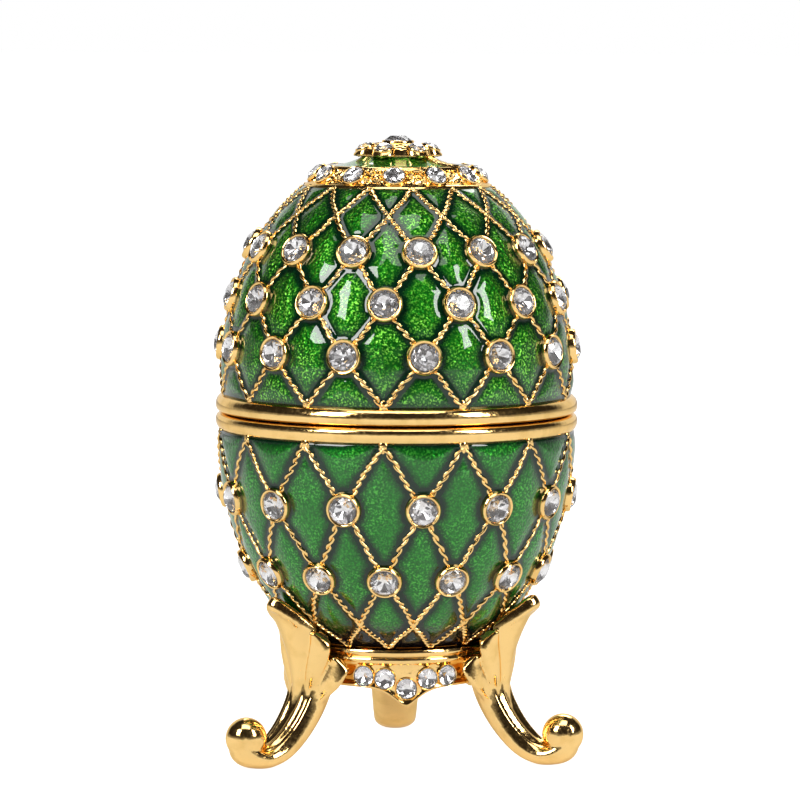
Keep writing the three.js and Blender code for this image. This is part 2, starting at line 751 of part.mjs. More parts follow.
// The five lobes of the leaf. The middle one stands tallest and leans out from the egg, and
// each lobe's top edge runs back and down from its middle to the egg. Their tips are given from
// the collar's edge and top.
const LOBES = [
  { out: 6.5, side: 0, up: 6.2, half: 2.9, back: 4.2, drop: 3.6, bend: 2.3 },
  { out: 2.4, side: 3.1, up: 2.0, half: 1.7, back: 0.9, drop: 1.2, bend: 1.6 },
  { out: 2.4, side: -3.1, up: 2.0, half: 1.7, back: 0.9, drop: 1.2, bend: 1.6 },
  { out: 0.7, side: 4.7, up: -0.7, half: 1.6, back: 0.9, drop: 1.0, bend: 1.3 },
  { out: 0.7, side: -4.7, up: -0.7, half: 1.6, back: 0.9, drop: 1.0, bend: 1.3 },
];
const LEAF_ROOT = { out: 1.7, up: -7.4 };
const LOBE_STATIONS = 4;
const LOBE_POINTS = [-1, -0.45, 0.45, 1];

// Moves a point of the leg straight outwards until it clears the bowl and its wires
function clearOfEgg(point) {
  const room = bowlRadiusAt(point.z) + WIRE_PROUD + LEAF_CLEARANCE;
  const reach = Math.hypot(point.x, point.y);
  if (reach < room) {
    point.x *= room / reach;
    point.y *= room / reach;
  }
  return point;
}

function lobe(shape) {
  const faces = [];
  const rings = [];
  for (let i = 0; i <= LOBE_STATIONS; i += 1) {
    const share = i / LOBE_STATIONS;
    const bend = Math.pow(share, shape.bend);
    const out = COLLAR_RADIUS + THREE.MathUtils.lerp(LEAF_ROOT.out, shape.out, bend);
    const side = shape.side * Math.pow(share, 0.75);
    const up = COLLAR_TOP + THREE.MathUtils.lerp(LEAF_ROOT.up, shape.up, share);
    const half = shape.half * THREE.MathUtils.smoothstep(share, -0.4, 0.9);
    const at = (across, inwards) => clearOfEgg(new THREE.Vector3(
      out - shape.back * share * share * across * across - inwards,
      side + half * across,
      up - shape.drop * share * share * across * across,
    ));
    const front = LOBE_POINTS.map((across) => {
      const point = at(across, 0);
      const room = bowlRadiusAt(point.z) + WIRE_PROUD + LEAF_CLEARANCE + LEAF_WALL / 2;
      const reach = Math.hypot(point.x, point.y);
      return point.setX(point.x * Math.max(1, room / reach));
    });
    const back = LOBE_POINTS.map((across) => at(across, LEAF_WALL));
    rings.push([...front, ...back.toReversed()]);
  }
  joinInOrder(faces, rings);
  const count = LOBE_POINTS.length;
  for (let i = 0; i + 1 < count; i += 1) {
    for (const [ring, top] of [[rings[0], false], [rings.at(-1), true]]) {
      const quad = [ring[i], ring[i + 1], ring[2 * count - 2 - i], ring[2 * count - 1 - i]];
      closeRing(faces, quad, top);
    }
  }
  return solidOf(geometryOf(faces));
}

function leg(turn) {
  const body = unite([stem(), ballFoot(), ...LOBES.map(lobe)]);
  return body.rotate([0, 0, turn - 90]);
}

function stand() {
  return unite([collar(), ...LEG_TURNS.map(leg), ...apronStones()]);
}

function namedMesh(name, solid, material) {
  const mesh = new THREE.Mesh(geometryFrom(solid), new THREE.MeshStandardMaterial(material));
  mesh.name = name;
  return mesh;
}

const twoDigits = (number) => String(number).padStart(2, "0");

function eggBox() {
  const group = new THREE.Group();
  group.add(namedMesh("lid", lid(), ENAMEL));
  group.add(namedMesh("bowl", bowlShell(), ENAMEL));
  group.add(namedMesh("stand", stand(), GOLD));
  for (const row of lidStoneRows) {
    row.frames.forEach((frame, k) => {
      group.add(stoneMesh(`lid_stone_${row.name}_${twoDigits(k + 1)}`, frame, BEZEL_PROUD));
    });
  }
  bowlStoneFrames.forEach((frame, k) => {
    group.add(stoneMesh(`bowl_stone_${twoDigits(k + 1)}`, frame, BEZEL_PROUD));
  });
  group.add(stoneMesh("finial_stone", finialFrame, 0));
  return group;
}

// The origin is the centre of the whole object's box, on the floor
const egg = eggBox();
const middle = new THREE.Box3().setFromObject(egg, true).getCenter(new THREE.Vector3());
egg.position.set(-middle.x, -middle.y, 0);

export default egg;
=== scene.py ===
"""Looks for a jewelled egg trinket box: green enamel cells between rope wires, gold castings and
foil-backed stones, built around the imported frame. Shapes are made in millimetres about the egg's
own axis and are brought into metres when each piece is finished."""

import math

import bmesh
import bpy
import numpy as np
from mathutils import Matrix, Vector, noise


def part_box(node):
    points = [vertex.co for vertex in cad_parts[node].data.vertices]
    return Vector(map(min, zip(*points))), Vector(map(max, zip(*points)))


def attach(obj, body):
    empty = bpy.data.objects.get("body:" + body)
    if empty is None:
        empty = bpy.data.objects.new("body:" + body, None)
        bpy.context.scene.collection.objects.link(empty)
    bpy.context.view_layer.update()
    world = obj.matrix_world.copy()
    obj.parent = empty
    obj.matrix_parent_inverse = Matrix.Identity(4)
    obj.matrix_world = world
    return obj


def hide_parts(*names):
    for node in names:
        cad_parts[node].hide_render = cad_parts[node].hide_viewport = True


bl_info = {
    "name": "Jewelled Egg Box",
    "version": (1, 0, 0),
    "blender": (4, 5, 0),
    "location": "View3D > Sidebar > Egg Box",
    "description": "Enamel, gold and stones of a jewelled egg box, built around its frame",
    "category": "Add Mesh",
}

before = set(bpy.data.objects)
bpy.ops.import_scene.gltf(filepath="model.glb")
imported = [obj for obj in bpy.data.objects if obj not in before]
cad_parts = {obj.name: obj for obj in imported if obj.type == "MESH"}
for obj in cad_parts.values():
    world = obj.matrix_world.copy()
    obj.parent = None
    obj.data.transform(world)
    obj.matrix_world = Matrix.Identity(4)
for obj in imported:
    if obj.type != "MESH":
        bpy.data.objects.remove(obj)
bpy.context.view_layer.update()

MM = 0.001
BODY = "root"
LID_LOW, LID_HIGH = (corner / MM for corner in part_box("lid"))
BOWL_LOW, BOWL_HIGH = (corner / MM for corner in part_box("bowl"))
AXIS = Vector(((LID_LOW.x + LID_HIGH.x) / 2, (LID_LOW.y + LID_HIGH.y) / 2, 0))
SEAM = LID_LOW.z
BOWL_WIDEST = 2.1
COLUMNS = 28
COLUMN_STEP = 360 / COLUMNS
STONES_IN_ROW = COLUMNS // 2
LEG_TURNS = (-54, 67, 180)
APRONS = tuple(zip(LEG_TURNS, (*LEG_TURNS[1:], LEG_TURNS[0] + 360)))
ROWS_OF_STONES = ("lower", "middle", "upper")
LATHE_STEPS = 196
ENAMEL_GRID = (448, 150)
TINY = 1e-6
# In millimetres: between which heights painted shade darkens the bowl's enamel just above the
# stand, how deep the castings lie under the enamel, and the room between a stone and its setting
SHADE_ABOVE_STAND_HEIGHTS = (16.0, 19.5)
ENAMEL_BED = 0.2
STONE_ROOM = 0.02


def length(name, description, millimetres):
    return bpy.props.FloatProperty(
        name=name, description=description, default=millimetres * MM,
        unit="LENGTH", subtype="DISTANCE", precision=5)


def share(name, description, default):
    return bpy.props.FloatProperty(
        name=name, description=description, default=default, min=0, max=1, subtype="FACTOR")


def turn(name, description, degrees):
    return bpy.props.FloatProperty(
        name=name, description=description, default=math.radians(degrees), subtype="ANGLE")


def colour(name, description, red, green, blue):
    return bpy.props.FloatVectorProperty(
        name=name, description=description, default=(red, green, blue), size=3,
        subtype="COLOR", min=0, max=1)


class EggShape(bpy.types.PropertyGroup):
    """The egg's two halves, their walls and their rims"""
    seam: length("Seam height", "Height of the seam above the floor", SEAM)
    lid_radius: length("Lid radius", "Radius of the lid at its widest", 20.2)
    lid_widest: length("Lid widest", "Height of the lid's widest place above the seam", 4.4)
    lid_rise: length("Lid rise", "Height of the lid's dome above its widest place", 25.6)
    bowl_radius: length("Bowl radius", "Radius of the bowl at its widest", 20.5)
    bowl_widest: length("Bowl widest", "Depth of the bowl's widest place below the seam",
                        BOWL_WIDEST)
    bowl_depth: length("Bowl depth", "Depth of the bowl below its widest place",
                       SEAM - BOWL_WIDEST - BOWL_LOW.z)
    wall: length("Wall", "Thickness of the two castings", 1.3)
    rim_radius: length("Rim radius", "Outer radius of the two gold rims", 21.0)
    rim_depth: length("Rim depth", "Height of each gold rim", 2.05)
    lip_radius: length("Lip radius", "Outer radius of the lip that centres the lid", 18.1)
    lip_height: length("Lip height", "Height of the lip above the seam",
                       BOWL_HIGH.z - SEAM)
    lip_wall: length("Lip wall", "Thickness of the lip", 0.9)
    lip_fit: length("Lip fit", "Room between the lip and the lid", 0.3)


class LatticeShape(bpy.types.PropertyGroup):
    """The rope wires, the enamel between them and the round settings"""
    turn: turn("Turn", "Turn of the first column from the front", -4.2)
    wire: length("Wire", "Thickness of a rope wire", 0.73)
    pitch: length("Pitch", "Length of one twist of the rope", 2.1)
    sink: length("Sink", "Depth of a wire's middle below the skin", -0.1)
    pillow: length("Pillow", "Rise of the enamel in the middle of a cell", 0.34)
    reach: length("Reach", "Distance over which the enamel rises", 2.3)
    creep: length("Creep", "Height that the enamel creeps up the metal", 0.2)
    bezel: length("Bezel", "Outer radius of a round setting", 2.05)
    bezel_rise: length("Bezel rise", "Height of a round setting above the skin", 0.82)


class JewelShape(bpy.types.PropertyGroup):
    """The round stones"""
    lattice_stone: length("Lattice stone", "Radius of a stone in the lattice", 1.6)
    band_stone: length("Band stone", "Radius of a stone in the band", 1.2)
    rosette_stone: length("Rosette stone", "Radius of a small stone in the rosette", 1.0)
    apron_stone: length("Apron stone", "Radius of a stone in the apron", 1.15)
    table: share("Table", "Width of a stone's flat table against its own width", 0.55)
    crown: share("Crown", "Height of a stone's crown against its radius", 0.36)
    pavilion: share("Pavilion", "Depth of a lattice stone's point against its radius", 0.42)
    flat_back: share("Flat back", "Depth of a small stone's point against its radius", 0.26)


class CrownShape(bpy.types.PropertyGroup):
    """The jewelled band, the green skirt and the rosette on top of the lid"""
    band_foot: length("Band foot", "Height of the band's lower edge above the seam", 26.6)
    band_rise: length("Band rise", "Height of the band", 1.9)
    band_foot_radius: length("Band foot radius", "Radius of the band's lower edge", 10.3)
    band_top_radius: length("Band top radius", "Radius of the band's upper edge", 8.35)
    band_stones: bpy.props.IntProperty(
        name="Band stones", description="Number of stones round the band", default=12)
    band_turn: turn("Band turn", "Turn of the band's first stone from the front", -2.5)
    skirt_rise: length("Skirt rise", "Height of the green skirt", 1.15)
    rosette_radius: length("Rosette radius", "Radius of the ring of small stones", 3.75)
    rosette_lobe: length("Rosette lobe", "Radius of one lobe of the rosette", 1.42)
    rosette_thick: length("Rosette thickness", "Thickness of the rosette at its edge", 0.7)
    rosette_turn: turn("Rosette turn", "Turn of the rosette's first lobe", -25)
    finial_rise: length("Finial rise", "Height of the middle stone's setting", 1.0)
    strap_turn: turn("Strap turn", "Turn of the strap from the front", 55)
    strap_width: length("Strap width", "Width of the strap across the skirt", 1.3)


class StandShape(bpy.types.PropertyGroup):
    """The collar, its apron and the three legs"""
    collar_top: length("Collar top", "Height of the collar's top above the floor", 13.6)
    collar_radius: length("Collar radius", "Outer radius of the collar", 11.5)
    drop_at_leg: length("Drop at leg", "Depth of the apron beside a leg", 4.3)
    drop_at_point: length("Drop at point", "Depth of the apron half way between legs", 6.85)
    stone_step: turn("Stone step", "Turn from one apron stone to the next", 12.5)
    foot_reach: length("Foot reach", "Distance of a ball foot from the egg's axis", 21.0)
    ball: length("Ball", "Radius of a ball foot", 2.4)
    ball_height: length("Ball height", "Height of a ball foot's middle", 3.6)
    sole: length("Sole", "Height of the curled foot's middle line", 1.3)
    voxel: length("Casting grain", "Size of the steps in which a leg is fused", 0.15)


class Finishes(bpy.types.PropertyGroup):
    """Colours of the gold, the enamel and the stage"""
    gold: colour("Gold", "Colour of the polished gold plate", 0.95, 0.64, 0.25)
    worn_gold: colour("Worn gold", "Colour of the duller, browner gold", 0.76, 0.46, 0.13)
    lid_enamel: colour("Lid enamel", "Enamel in the lid's cells", 0.009, 0.16, 0.006)
    # Painted glints: the lid's and the bowl's glint colours are mixed into the enamel's colour as
    # bright specks
    lid_glint: colour("Lid glint", "Glints of the ground under the lid's enamel", 0.26, 0.80, 0.08)
    bowl_enamel: colour("Bowl enamel", "Enamel in the bowl's cells", 0.010, 0.20, 0.014)
    bowl_glint: colour("Bowl glint", "Glints under the bowl's enamel", 0.10, 0.58, 0.06)
    # Painted shade: near-black colour painted into the enamel beside the wires and settings
    deep_enamel: colour("Deep enamel", "Enamel beside the metal", 0.001, 0.016, 0.006)
    # Painted shade: near-black colour painted on the bowl's enamel just above the stand
    low_enamel: colour("Low enamel", "Enamel just above the stand", 0.006, 0.004, 0.007)
    foil: colour("Foil", "Silver foil behind the stones", 0.95, 0.94, 0.95)
    dull_foil: colour("Dull foil", "Tarnished foil", 0.72, 0.70, 0.69)
    floor: colour("Floor", "Pale floor", 0.55, 0.55, 0.55)


class Millimetres:
    """Reads the lengths of a property group in millimetres and its other values as they are"""

    def __init__(self, group):
        self.group = group

    def __getattr__(self, name):
        value = getattr(self.group, name)
        is_length = self.group.bl_rna.properties[name].subtype == "DISTANCE"
        return value / MM if is_length else value


# Shapes


def polar(radius, degrees, height):
    angle = np.radians(degrees)
    return np.stack(
        np.broadcast_arrays(radius * np.sin(angle), -radius * np.cos(angle), height), axis=-1)


def blend(low, high, amount):
    return low + (high - low) * amount


def ease(value, low, high):
    """0 below low, 1 above high and a smooth step between"""
    amount = np.clip((value - low) / (high - low), 0, 1)
    return amount * amount * (3 - 2 * amount)


def bump_at(value, middle, width):
    return np.exp(-((value - middle) / width) ** 2)


def at_an_end(along):
    """Whether a place is the very first or the very last"""
    return (along < TINY) | (along > 1 - TINY)


def through(stations, along):
    """A smooth curve through evenly spaced stations"""
    stations = np.asarray(stations, float)
    last = len(stations) - 1
    place = np.clip(along, 0, 1) * last
    index = np.minimum(place.astype(int), last - 1)
    t = (place - index)[:, None]
    before, here = stations[np.maximum(index - 1, 0)], stations[index]
    after, beyond = stations[index + 1], stations[np.minimum(index + 2, last)]
    curve = 2 * here + (after - before) * t
    curve += (2 * before - 5 * here + 4 * after - beyond) * t ** 2
    curve += (3 * here - before - 3 * after + beyond) * t ** 3
    return curve / 2


def rough(points, size):
    """Smooth noise between -1 and 1 with lumps of a size"""
    return np.array([noise.noise(Vector(point) / size) for point in points])


def sheet(across, along, place, layer=None):
    """A grid whose points are placed by a function of u and v from 0 to 1. Edges that meet are
    merged, so that the function closes the sheet into a shell."""
    bm = bmesh.new()
    bmesh.ops.create_grid(bm, x_segments=across, y_segments=along, size=0.5)
    uv = np.array([vert.co[:2] for vert in bm.verts]) + 0.5
    placed = place(uv[:, 0], uv[:, 1])
    points, values = placed if layer else (placed, None)
    for vert, point in zip(bm.verts, points):
        vert.co = point
    if layer:
        amount = bm.verts.layers.float.new(layer)
        for vert, value in zip(bm.verts, values):
            vert[amount] = value
    edge = [vert for vert in bm.verts if vert.is_boundary]
    bmesh.ops.remove_doubles(bm, verts=edge, dist=0.001)
    bmesh.ops.dissolve_degenerate(bm, edges=bm.edges, dist=0.0005)
    bmesh.ops.recalc_face_normals(bm, faces=bm.faces)
    return bm


def lathe(profile, steps):
    """A profile of radii and heights spun into a closed body"""
    bm = bmesh.new()
    verts = [bm.verts.new((radius, 0, height)) for radius, height in profile]
    edges = [bm.edges.new(pair) for pair in zip(verts, verts[1:])]
    bmesh.ops.spin(
        bm, geom=verts + edges, cent=(0, 0, 0), axis=(0, 0, 1), dvec=(0, 0, 0),
        angle=2 * math.pi, steps=steps, use_merge=True, use_normal_flip=False,
        use_duplicate=False)
    bmesh.ops.remove_doubles(bm, verts=bm.verts, dist=0.0005)
    bmesh.ops.recalc_face_normals(bm, faces=bm.faces)
    return bm


def knot(matrix, size):
    """A small smooth lump of metal where wires meet"""
    bm = bmesh.new()
    bmesh.ops.create_uvsphere(bm, u_segments=14, v_segments=8, radius=1)
    bmesh.ops.transform(bm, matrix=matrix @ Matrix.Diagonal((*size, 1)), verts=bm.verts)
    return bm


def brilliant(jewel, radius, depth):
    """A round stone with its flat table up and its girdle at zero, its facets flat"""
    bm = bmesh.new()
    levels = (
        (8, radius * jewel.table, radius * jewel.crown, 0),
        (8, radius * 0.79, radius * jewel.crown * 0.62, 0.5),
        (16, radius, 0.03, 0),
        (16, radius, -0.03, 0),
        (8, radius * 0.62, -depth * 0.46, 0.5),
        (1, 0, -depth, 0),
    )
    for count, reach, height, offset in levels:
        for k in range(count):
            angle = 2 * math.pi * (k + offset) / count
            bm.verts.new((reach * math.cos(angle), reach * math.sin(angle), height))
    bmesh.ops.convex_hull(bm, input=bm.verts, use_existing_faces=False)
    bmesh.ops.dissolve_limit(
        bm, angle_limit=math.radians(1), verts=bm.verts, edges=bm.edges, delimit=set(),
        use_dissolve_boundaries=False)
    bmesh.ops.recalc_face_normals(bm, faces=bm.faces)
    bm.faces.ensure_lookup_table()
    for face in bm.faces:
        face.material_index = 1 if face.calc_center_median().z < -0.03 else 0
    return bm


class Piece:
    """One visible piece in the making"""

    def __init__(self, name, slot, materials):
        self.name = name
        self.slot = slot
        self.materials = materials
        self.bm = bmesh.new()

    def add(self, bm, matrix=None):
        if matrix is not None:
            bmesh.ops.transform(bm, matrix=matrix, verts=bm.verts)
        mesh = bpy.data.meshes.new("shape")
        bm.to_mesh(mesh)
        bm.free()
        self.bm.from_mesh(mesh)
        bpy.data.meshes.remove(mesh)

    def fuse(self, grain, passes):
        """Casts what has been added into one skin with soft inner corners"""
        mesh = bpy.data.meshes.new("shape")
        self.bm.to_mesh(mesh)
        blank = bpy.data.objects.new("blank", mesh)
        bpy.context.collection.objects.link(blank)
        fused = blank.modifiers.new("fused", "REMESH")
        fused.mode = "VOXEL"
        fused.voxel_size = grain
        shaped = blank.evaluated_get(bpy.context.evaluated_depsgraph_get())
        self.bm.clear()
        self.bm.from_mesh(shaped.to_mesh())
        shaped.to_mesh_clear()
        bpy.data.objects.remove(blank)
        bpy.data.meshes.remove(mesh)
        for _ in range(passes):
            bmesh.ops.smooth_vert(
                self.bm, verts=self.bm.verts, factor=0.5,
                use_axis_x=True, use_axis_y=True, use_axis_z=True)

    def finish(self, nodes, sharp=None):
        """Brings the piece to its place in metres and hands it to the frame. Edges that turn by
        more than sharp degrees stay hard, and 0 keeps every facet flat."""
        place = Matrix.Scale(MM, 4) @ Matrix.Translation(AXIS)
        bmesh.ops.transform(self.bm, matrix=place, verts=self.bm.verts)
        for face in self.bm.faces:
            face.smooth = sharp != 0
        mesh = bpy.data.meshes.new(self.name)
        self.bm.to_mesh(mesh)
        self.bm.free()
        if sharp:
            mesh.set_sharp_from_angle(angle=math.radians(sharp))
        for material in self.materials:
            mesh.materials.append(material)
        obj = bpy.data.objects.new(self.name, mesh)
        bpy.context.collection.objects.link(obj)
        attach(obj, BODY)
        self.slot
        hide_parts(*nodes)
        return obj


# The egg's skin and its lattice


def lid_radius_at(egg, height):
    off = (height - egg.seam - egg.lid_widest) / egg.lid_rise
    return egg.lid_radius * np.sqrt(np.clip(1 - off ** 2, 0, 1))


def bowl_radius_at(egg, height):
    off = np.maximum(0, egg.seam - height - egg.bowl_widest) / egg.bowl_depth
    return egg.bowl_radius * np.sqrt(np.clip(1 - off ** 2, 0, 1))


def basis(right, up, out, origin):
    matrix = Matrix((right, up, out)).transposed().to_4x4()
    matrix.translation = origin
    return matrix


def upright_frame(radius, degrees, height, tilt=0):
    """A frame whose Z points up, or leans outwards by a tilt in degrees"""
    lean = math.radians(tilt)
    away = Vector(polar(1, degrees, 0))
    right = Vector(polar(1, degrees + 90, 0))
    out = away * math.sin(lean) + Vector((0, 0, math.cos(lean)))
    return basis(right, out.cross(right), out, Vector(polar(radius, degrees, height)))


class Lattice:
    """The crossing wires of one half of the egg. Wires cross on every second column, and each
    row of crossings has its height and says whether a stone is set in it."""

    def __init__(self, radius_at, heights, is_set, shape):
        self.radius_at = radius_at
        self.heights = np.array(heights, float)
        self.is_set = is_set
        self.shape = shape
        self.first = math.degrees(shape.turn)

    def skin(self, column, height, proud):
        """A point that stands proud of the skin, square to it"""
        nudge = 0.02
        below, above = self.radius_at(height - nudge), self.radius_at(height + nudge)
        lean = (below - above) / (2 * nudge)
        size = np.sqrt(1 + lean ** 2)
        return polar(
            self.radius_at(height) + proud / size,
            self.first + column * COLUMN_STEP,
            height + proud * lean / size)

    def frame_at(self, column, height):
        origin = self.skin(column, height, 0.0)
        out = Vector(self.skin(column, height, 1.0) - origin)
        right = Vector(polar(1, self.first + column * COLUMN_STEP + 90, 0))
        return basis(right, out.cross(right), out, Vector(origin))

    def crossings(self, level):
        return [self.frame_at(2 * k + level % 2, self.heights[level])
                for k in range(STONES_IN_ROW)]

    def set_crossings(self):
        return [matrix for level, is_set in enumerate(self.is_set) if is_set
                for matrix in self.crossings(level)]

    def edge_distance(self, column, height):
        """Distance over the skin from a place to the nearest wire, setting or rim"""
        last = len(self.heights) - 2
        level = np.clip(np.searchsorted(self.heights, height, side="right") - 1, 0, last)
        low, high = self.heights[level], self.heights[level + 1]
        rise = np.hypot(high - low, self.radius_at(high) - self.radius_at(low))
        up = np.clip((height - low) / (high - low), 0, 1)
        step = self.radius_at(height) * math.radians(COLUMN_STEP)
        place = np.mod(column - level, 2)
        across = np.min([
            np.abs(place - up), np.abs(place - 2 + up),
            np.abs(place + up), np.abs(place - 2 - up)], axis=0)
        distance = across * step * rise / np.hypot(step, rise) - self.shape.wire / 2
        for offset, part in ((0, up), (1, 1 - up)):
            aside = np.abs(np.mod(column - level - offset + 1, 2) - 1) * step
            has_stone = np.array(self.is_set)[level + offset]
            radius = np.where(has_stone, self.shape.bezel, self.shape.wire)
            distance = np.minimum(distance, np.hypot(aside, part * rise) - radius)
        distance = np.minimum(distance, np.where(level == 0, up * rise, 9) + 0.15)
        return np.minimum(distance, np.where(level == last, (1 - up) * rise, 9) + 0.15)

    def enamel(self, across, along):
        """The pillowed enamel with its edges crept up the metal, as a thin closed shell"""
        shape = self.shape
        tuck, inner_face, creep_width, waver_depth = 0.3, -0.3, 0.16, 0.035
        under_settings, under_rims = -0.28, 0.45
        lowest, highest = self.heights[0], self.heights[-1]
        heights = np.linspace(lowest - tuck, highest + tuck, 400)
        steps = np.hypot(np.diff(heights), np.diff(self.radius_at(heights)))
        run = np.concatenate(([0], np.cumsum(steps))) / steps.sum()
        inner_rows = 6
        outer = along / (along + inner_rows)

        def place(u, v):
            column = u * COLUMNS
            height = np.interp(v / outer, run, heights)
            back = v > outer + TINY
            way_back = np.clip((v - outer) / (1 - outer), 0, 1)
            height = np.where(back, blend(heights[-1], heights[0], way_back), height)
            edge = self.edge_distance(column, height)
            room = np.clip(edge / shape.reach, 0, 1)
            creep = shape.creep * np.exp(-np.maximum(edge, 0) / creep_width)
            waver = waver_depth * np.sin(column * 2.1 + height) * room
            proud = shape.pillow * (1 - (1 - room) ** 2) + creep + waver
            proud = np.where(edge < -0.5, under_settings, proud)
            past_rim = np.maximum(lowest - height, height - highest)
            proud = proud - under_rims * ease(past_rim, 0, tuck)
            inside = back & (v < 1 - TINY)
            proud = np.where(inside, inner_face, proud)
            return self.skin(column, height, proud), np.where(inside, 0, room)

        return sheet(across, along + inner_rows, place, "room")

    def rope(self, start, way, strand, sides=7, detail=0.2):
        """One of the two strands of a rope wire, from the lower rim to the upper"""
        shape = self.shape
        levels = np.arange(len(self.heights))
        rises = np.hypot(np.diff(self.heights), np.diff(self.radius_at(self.heights)))
        middle = self.radius_at(self.heights).mean() * math.radians(COLUMN_STEP)
        steps = np.hypot(rises, middle)
        length_of_rope = steps.sum()
        twist = 2 * math.pi * length_of_rope / shape.pitch
        settings = np.array(self.is_set)
        strand_radius, swing, heave = shape.wire * 0.27, shape.wire * 0.25, shape.wire * 0.18

        def centre(u, proud):
            place = np.clip(u, 0, 1) * levels[-1]
            height = np.interp(place, levels, self.heights)
            waver = 0.02 * np.sin(9 * place + 1.7 * start + way)
            nearest = np.rint(place).astype(int)
            away = np.abs(place - nearest) * steps[np.minimum(place.astype(int), len(steps) - 1)]
            hidden = settings[nearest] * ease(shape.bezel - 0.2 - away, 0, 0.5)
            return self.skin(start + way * place + waver, height, proud - 0.9 * hidden)

        def place(u, v):
            nudge = 0.004
            ahead = centre(u + nudge, 0.0) - centre(u - nudge, 0.0)
            out = centre(u, 1.0) - centre(u, 0.0)
            side = np.cross(out, ahead)
            side /= np.linalg.norm(side, axis=1)[:, None]
            turned = way * twist * u + math.pi * strand + 0.5 * np.sin(23 * u + start)
            nicks = 1 + 0.14 * np.sin(39 * u + start) * np.sin(61 * u + 2 * start)
            thick = np.where(at_an_end(u), 0, strand_radius * nicks)
            angle = 2 * math.pi * v
            aside = swing * np.cos(turned) + thick * np.cos(angle)
            lift = heave * np.sin(turned) + thick * np.sin(angle)
            return centre(u, -shape.sink) + side * aside[:, None] + out * lift[:, None]

        return sheet(round(length_of_rope / detail), sides, place)


def add_collets(piece, frames, outer, inner, rise, steps=24):
    """Round settings: rounded walls that lean out a little, each with a seat inside"""
    wall = outer - inner
    profile = (
        (0, -0.6), (outer - 0.05, -0.6), (outer, 0.1 * rise), (outer, 0.55 * rise),
        (outer - 0.12 * wall, 0.82 * rise), (outer - 0.4 * wall, rise),
        (outer - 0.7 * wall, 0.97 * rise), (inner + 0.05 * wall, 0.84 * rise),
        (inner, 0.6 * rise), (inner - 0.1, -0.25), (0, -0.3))
    for matrix in frames:
        piece.add(lathe(profile, steps), matrix)


def make_lid_lattice(egg, crown, shape):
    foot = egg.seam + egg.rim_depth
    top = egg.seam + crown.band_foot - 0.35
    rows = [blend(foot, top, part) for part in (0, 0.236, 0.476, 0.708, 0.874, 1)]
    return Lattice(
        lambda height: lid_radius_at(egg, height), rows,
        (False, True, True, True, False, False), shape)


def make_bowl_lattice(egg, stand, shape):
    foot = stand.collar_top + 0.35
    top = egg.seam - egg.rim_depth
    rows = [blend(top, foot, part) for part in (1, 0.879, 0.646, 0.304, 0)]
    return Lattice(
        lambda height: bowl_radius_at(egg, height), rows,
        (False, False, True, True, False), shape)


def rim_profile(egg, way):
    """The rounded outside of a gold rim, from the seam outwards"""
    steps = ((-0.9, 0.05), (-0.6, 0.1), (-0.3, 0.19), (-0.12, 0.36), (-0.02, 0.62),
             (0, 0.95), (-0.05, 1.3), (-0.2, 1.65), (-0.42, 1.9), (-0.75, 2.05), (-1.2, 2.12))
    return [(egg.rim_radius + out, egg.seam + way * up) for out, up in steps]


def add_rim_webs(piece, lattice, level, way):
    """Small webs of gold where two wires run into a rim"""
    for matrix in lattice.crossings(level):
        into_cell = Matrix.Translation((0, 0.2 * way, 0.05))
        piece.add(knot(matrix @ into_cell, (0.55, 0.8, 0.24)))


def add_knots(piece, lattice):
    for level in range(1, len(lattice.heights) - 1):
        if not lattice.is_set[level]:
            for matrix in lattice.crossings(level):
                piece.add(knot(matrix, (0.4, 0.62, 0.42)))


def add_settings(piece, lattice, jewel):
    shape = lattice.shape
    add_collets(piece, lattice.set_crossings(), shape.bezel, jewel.lattice_stone + STONE_ROOM,
                shape.bezel_rise, 28)


def add_stones(piece, jewel, radius, frames, girdle):
    """Stones at a height above each frame, each turned and tipped a little by its place"""
    back = jewel.pavilion if radius == jewel.lattice_stone else jewel.flat_back
    for k, matrix in enumerate(frames):
        turned = Matrix.Rotation(0.9 * k, 4, "Z")
        tipped = Matrix.Rotation(0.05 * math.sin(2.4 * k), 4, "X")
        place = matrix @ Matrix.Translation((0, 0, girdle)) @ (turned @ tipped)
        piece.add(brilliant(jewel, radius, radius * back), place)


# The crown of the lid


def crown_levels(egg, crown):
    """Heights of the band's foot, the skirt's foot, the rosette's underside and its top"""
    foot = egg.seam + crown.band_foot
    brim = foot + crown.band_rise
    under = brim + crown.skirt_rise
    return foot, brim, under, under + crown.rosette_thick


def band_frames(egg, crown):
    foot, *_ = crown_levels(egg, crown)
    slant = math.atan2(crown.band_foot_radius - crown.band_top_radius, crown.band_rise)
    radius = (crown.band_foot_radius + crown.band_top_radius) / 2
    first = math.degrees(crown.band_turn)
    return [upright_frame(radius, first + k * 360 / crown.band_stones,
                          foot + crown.band_rise / 2, 90 - math.degrees(slant))
            for k in range(crown.band_stones)]


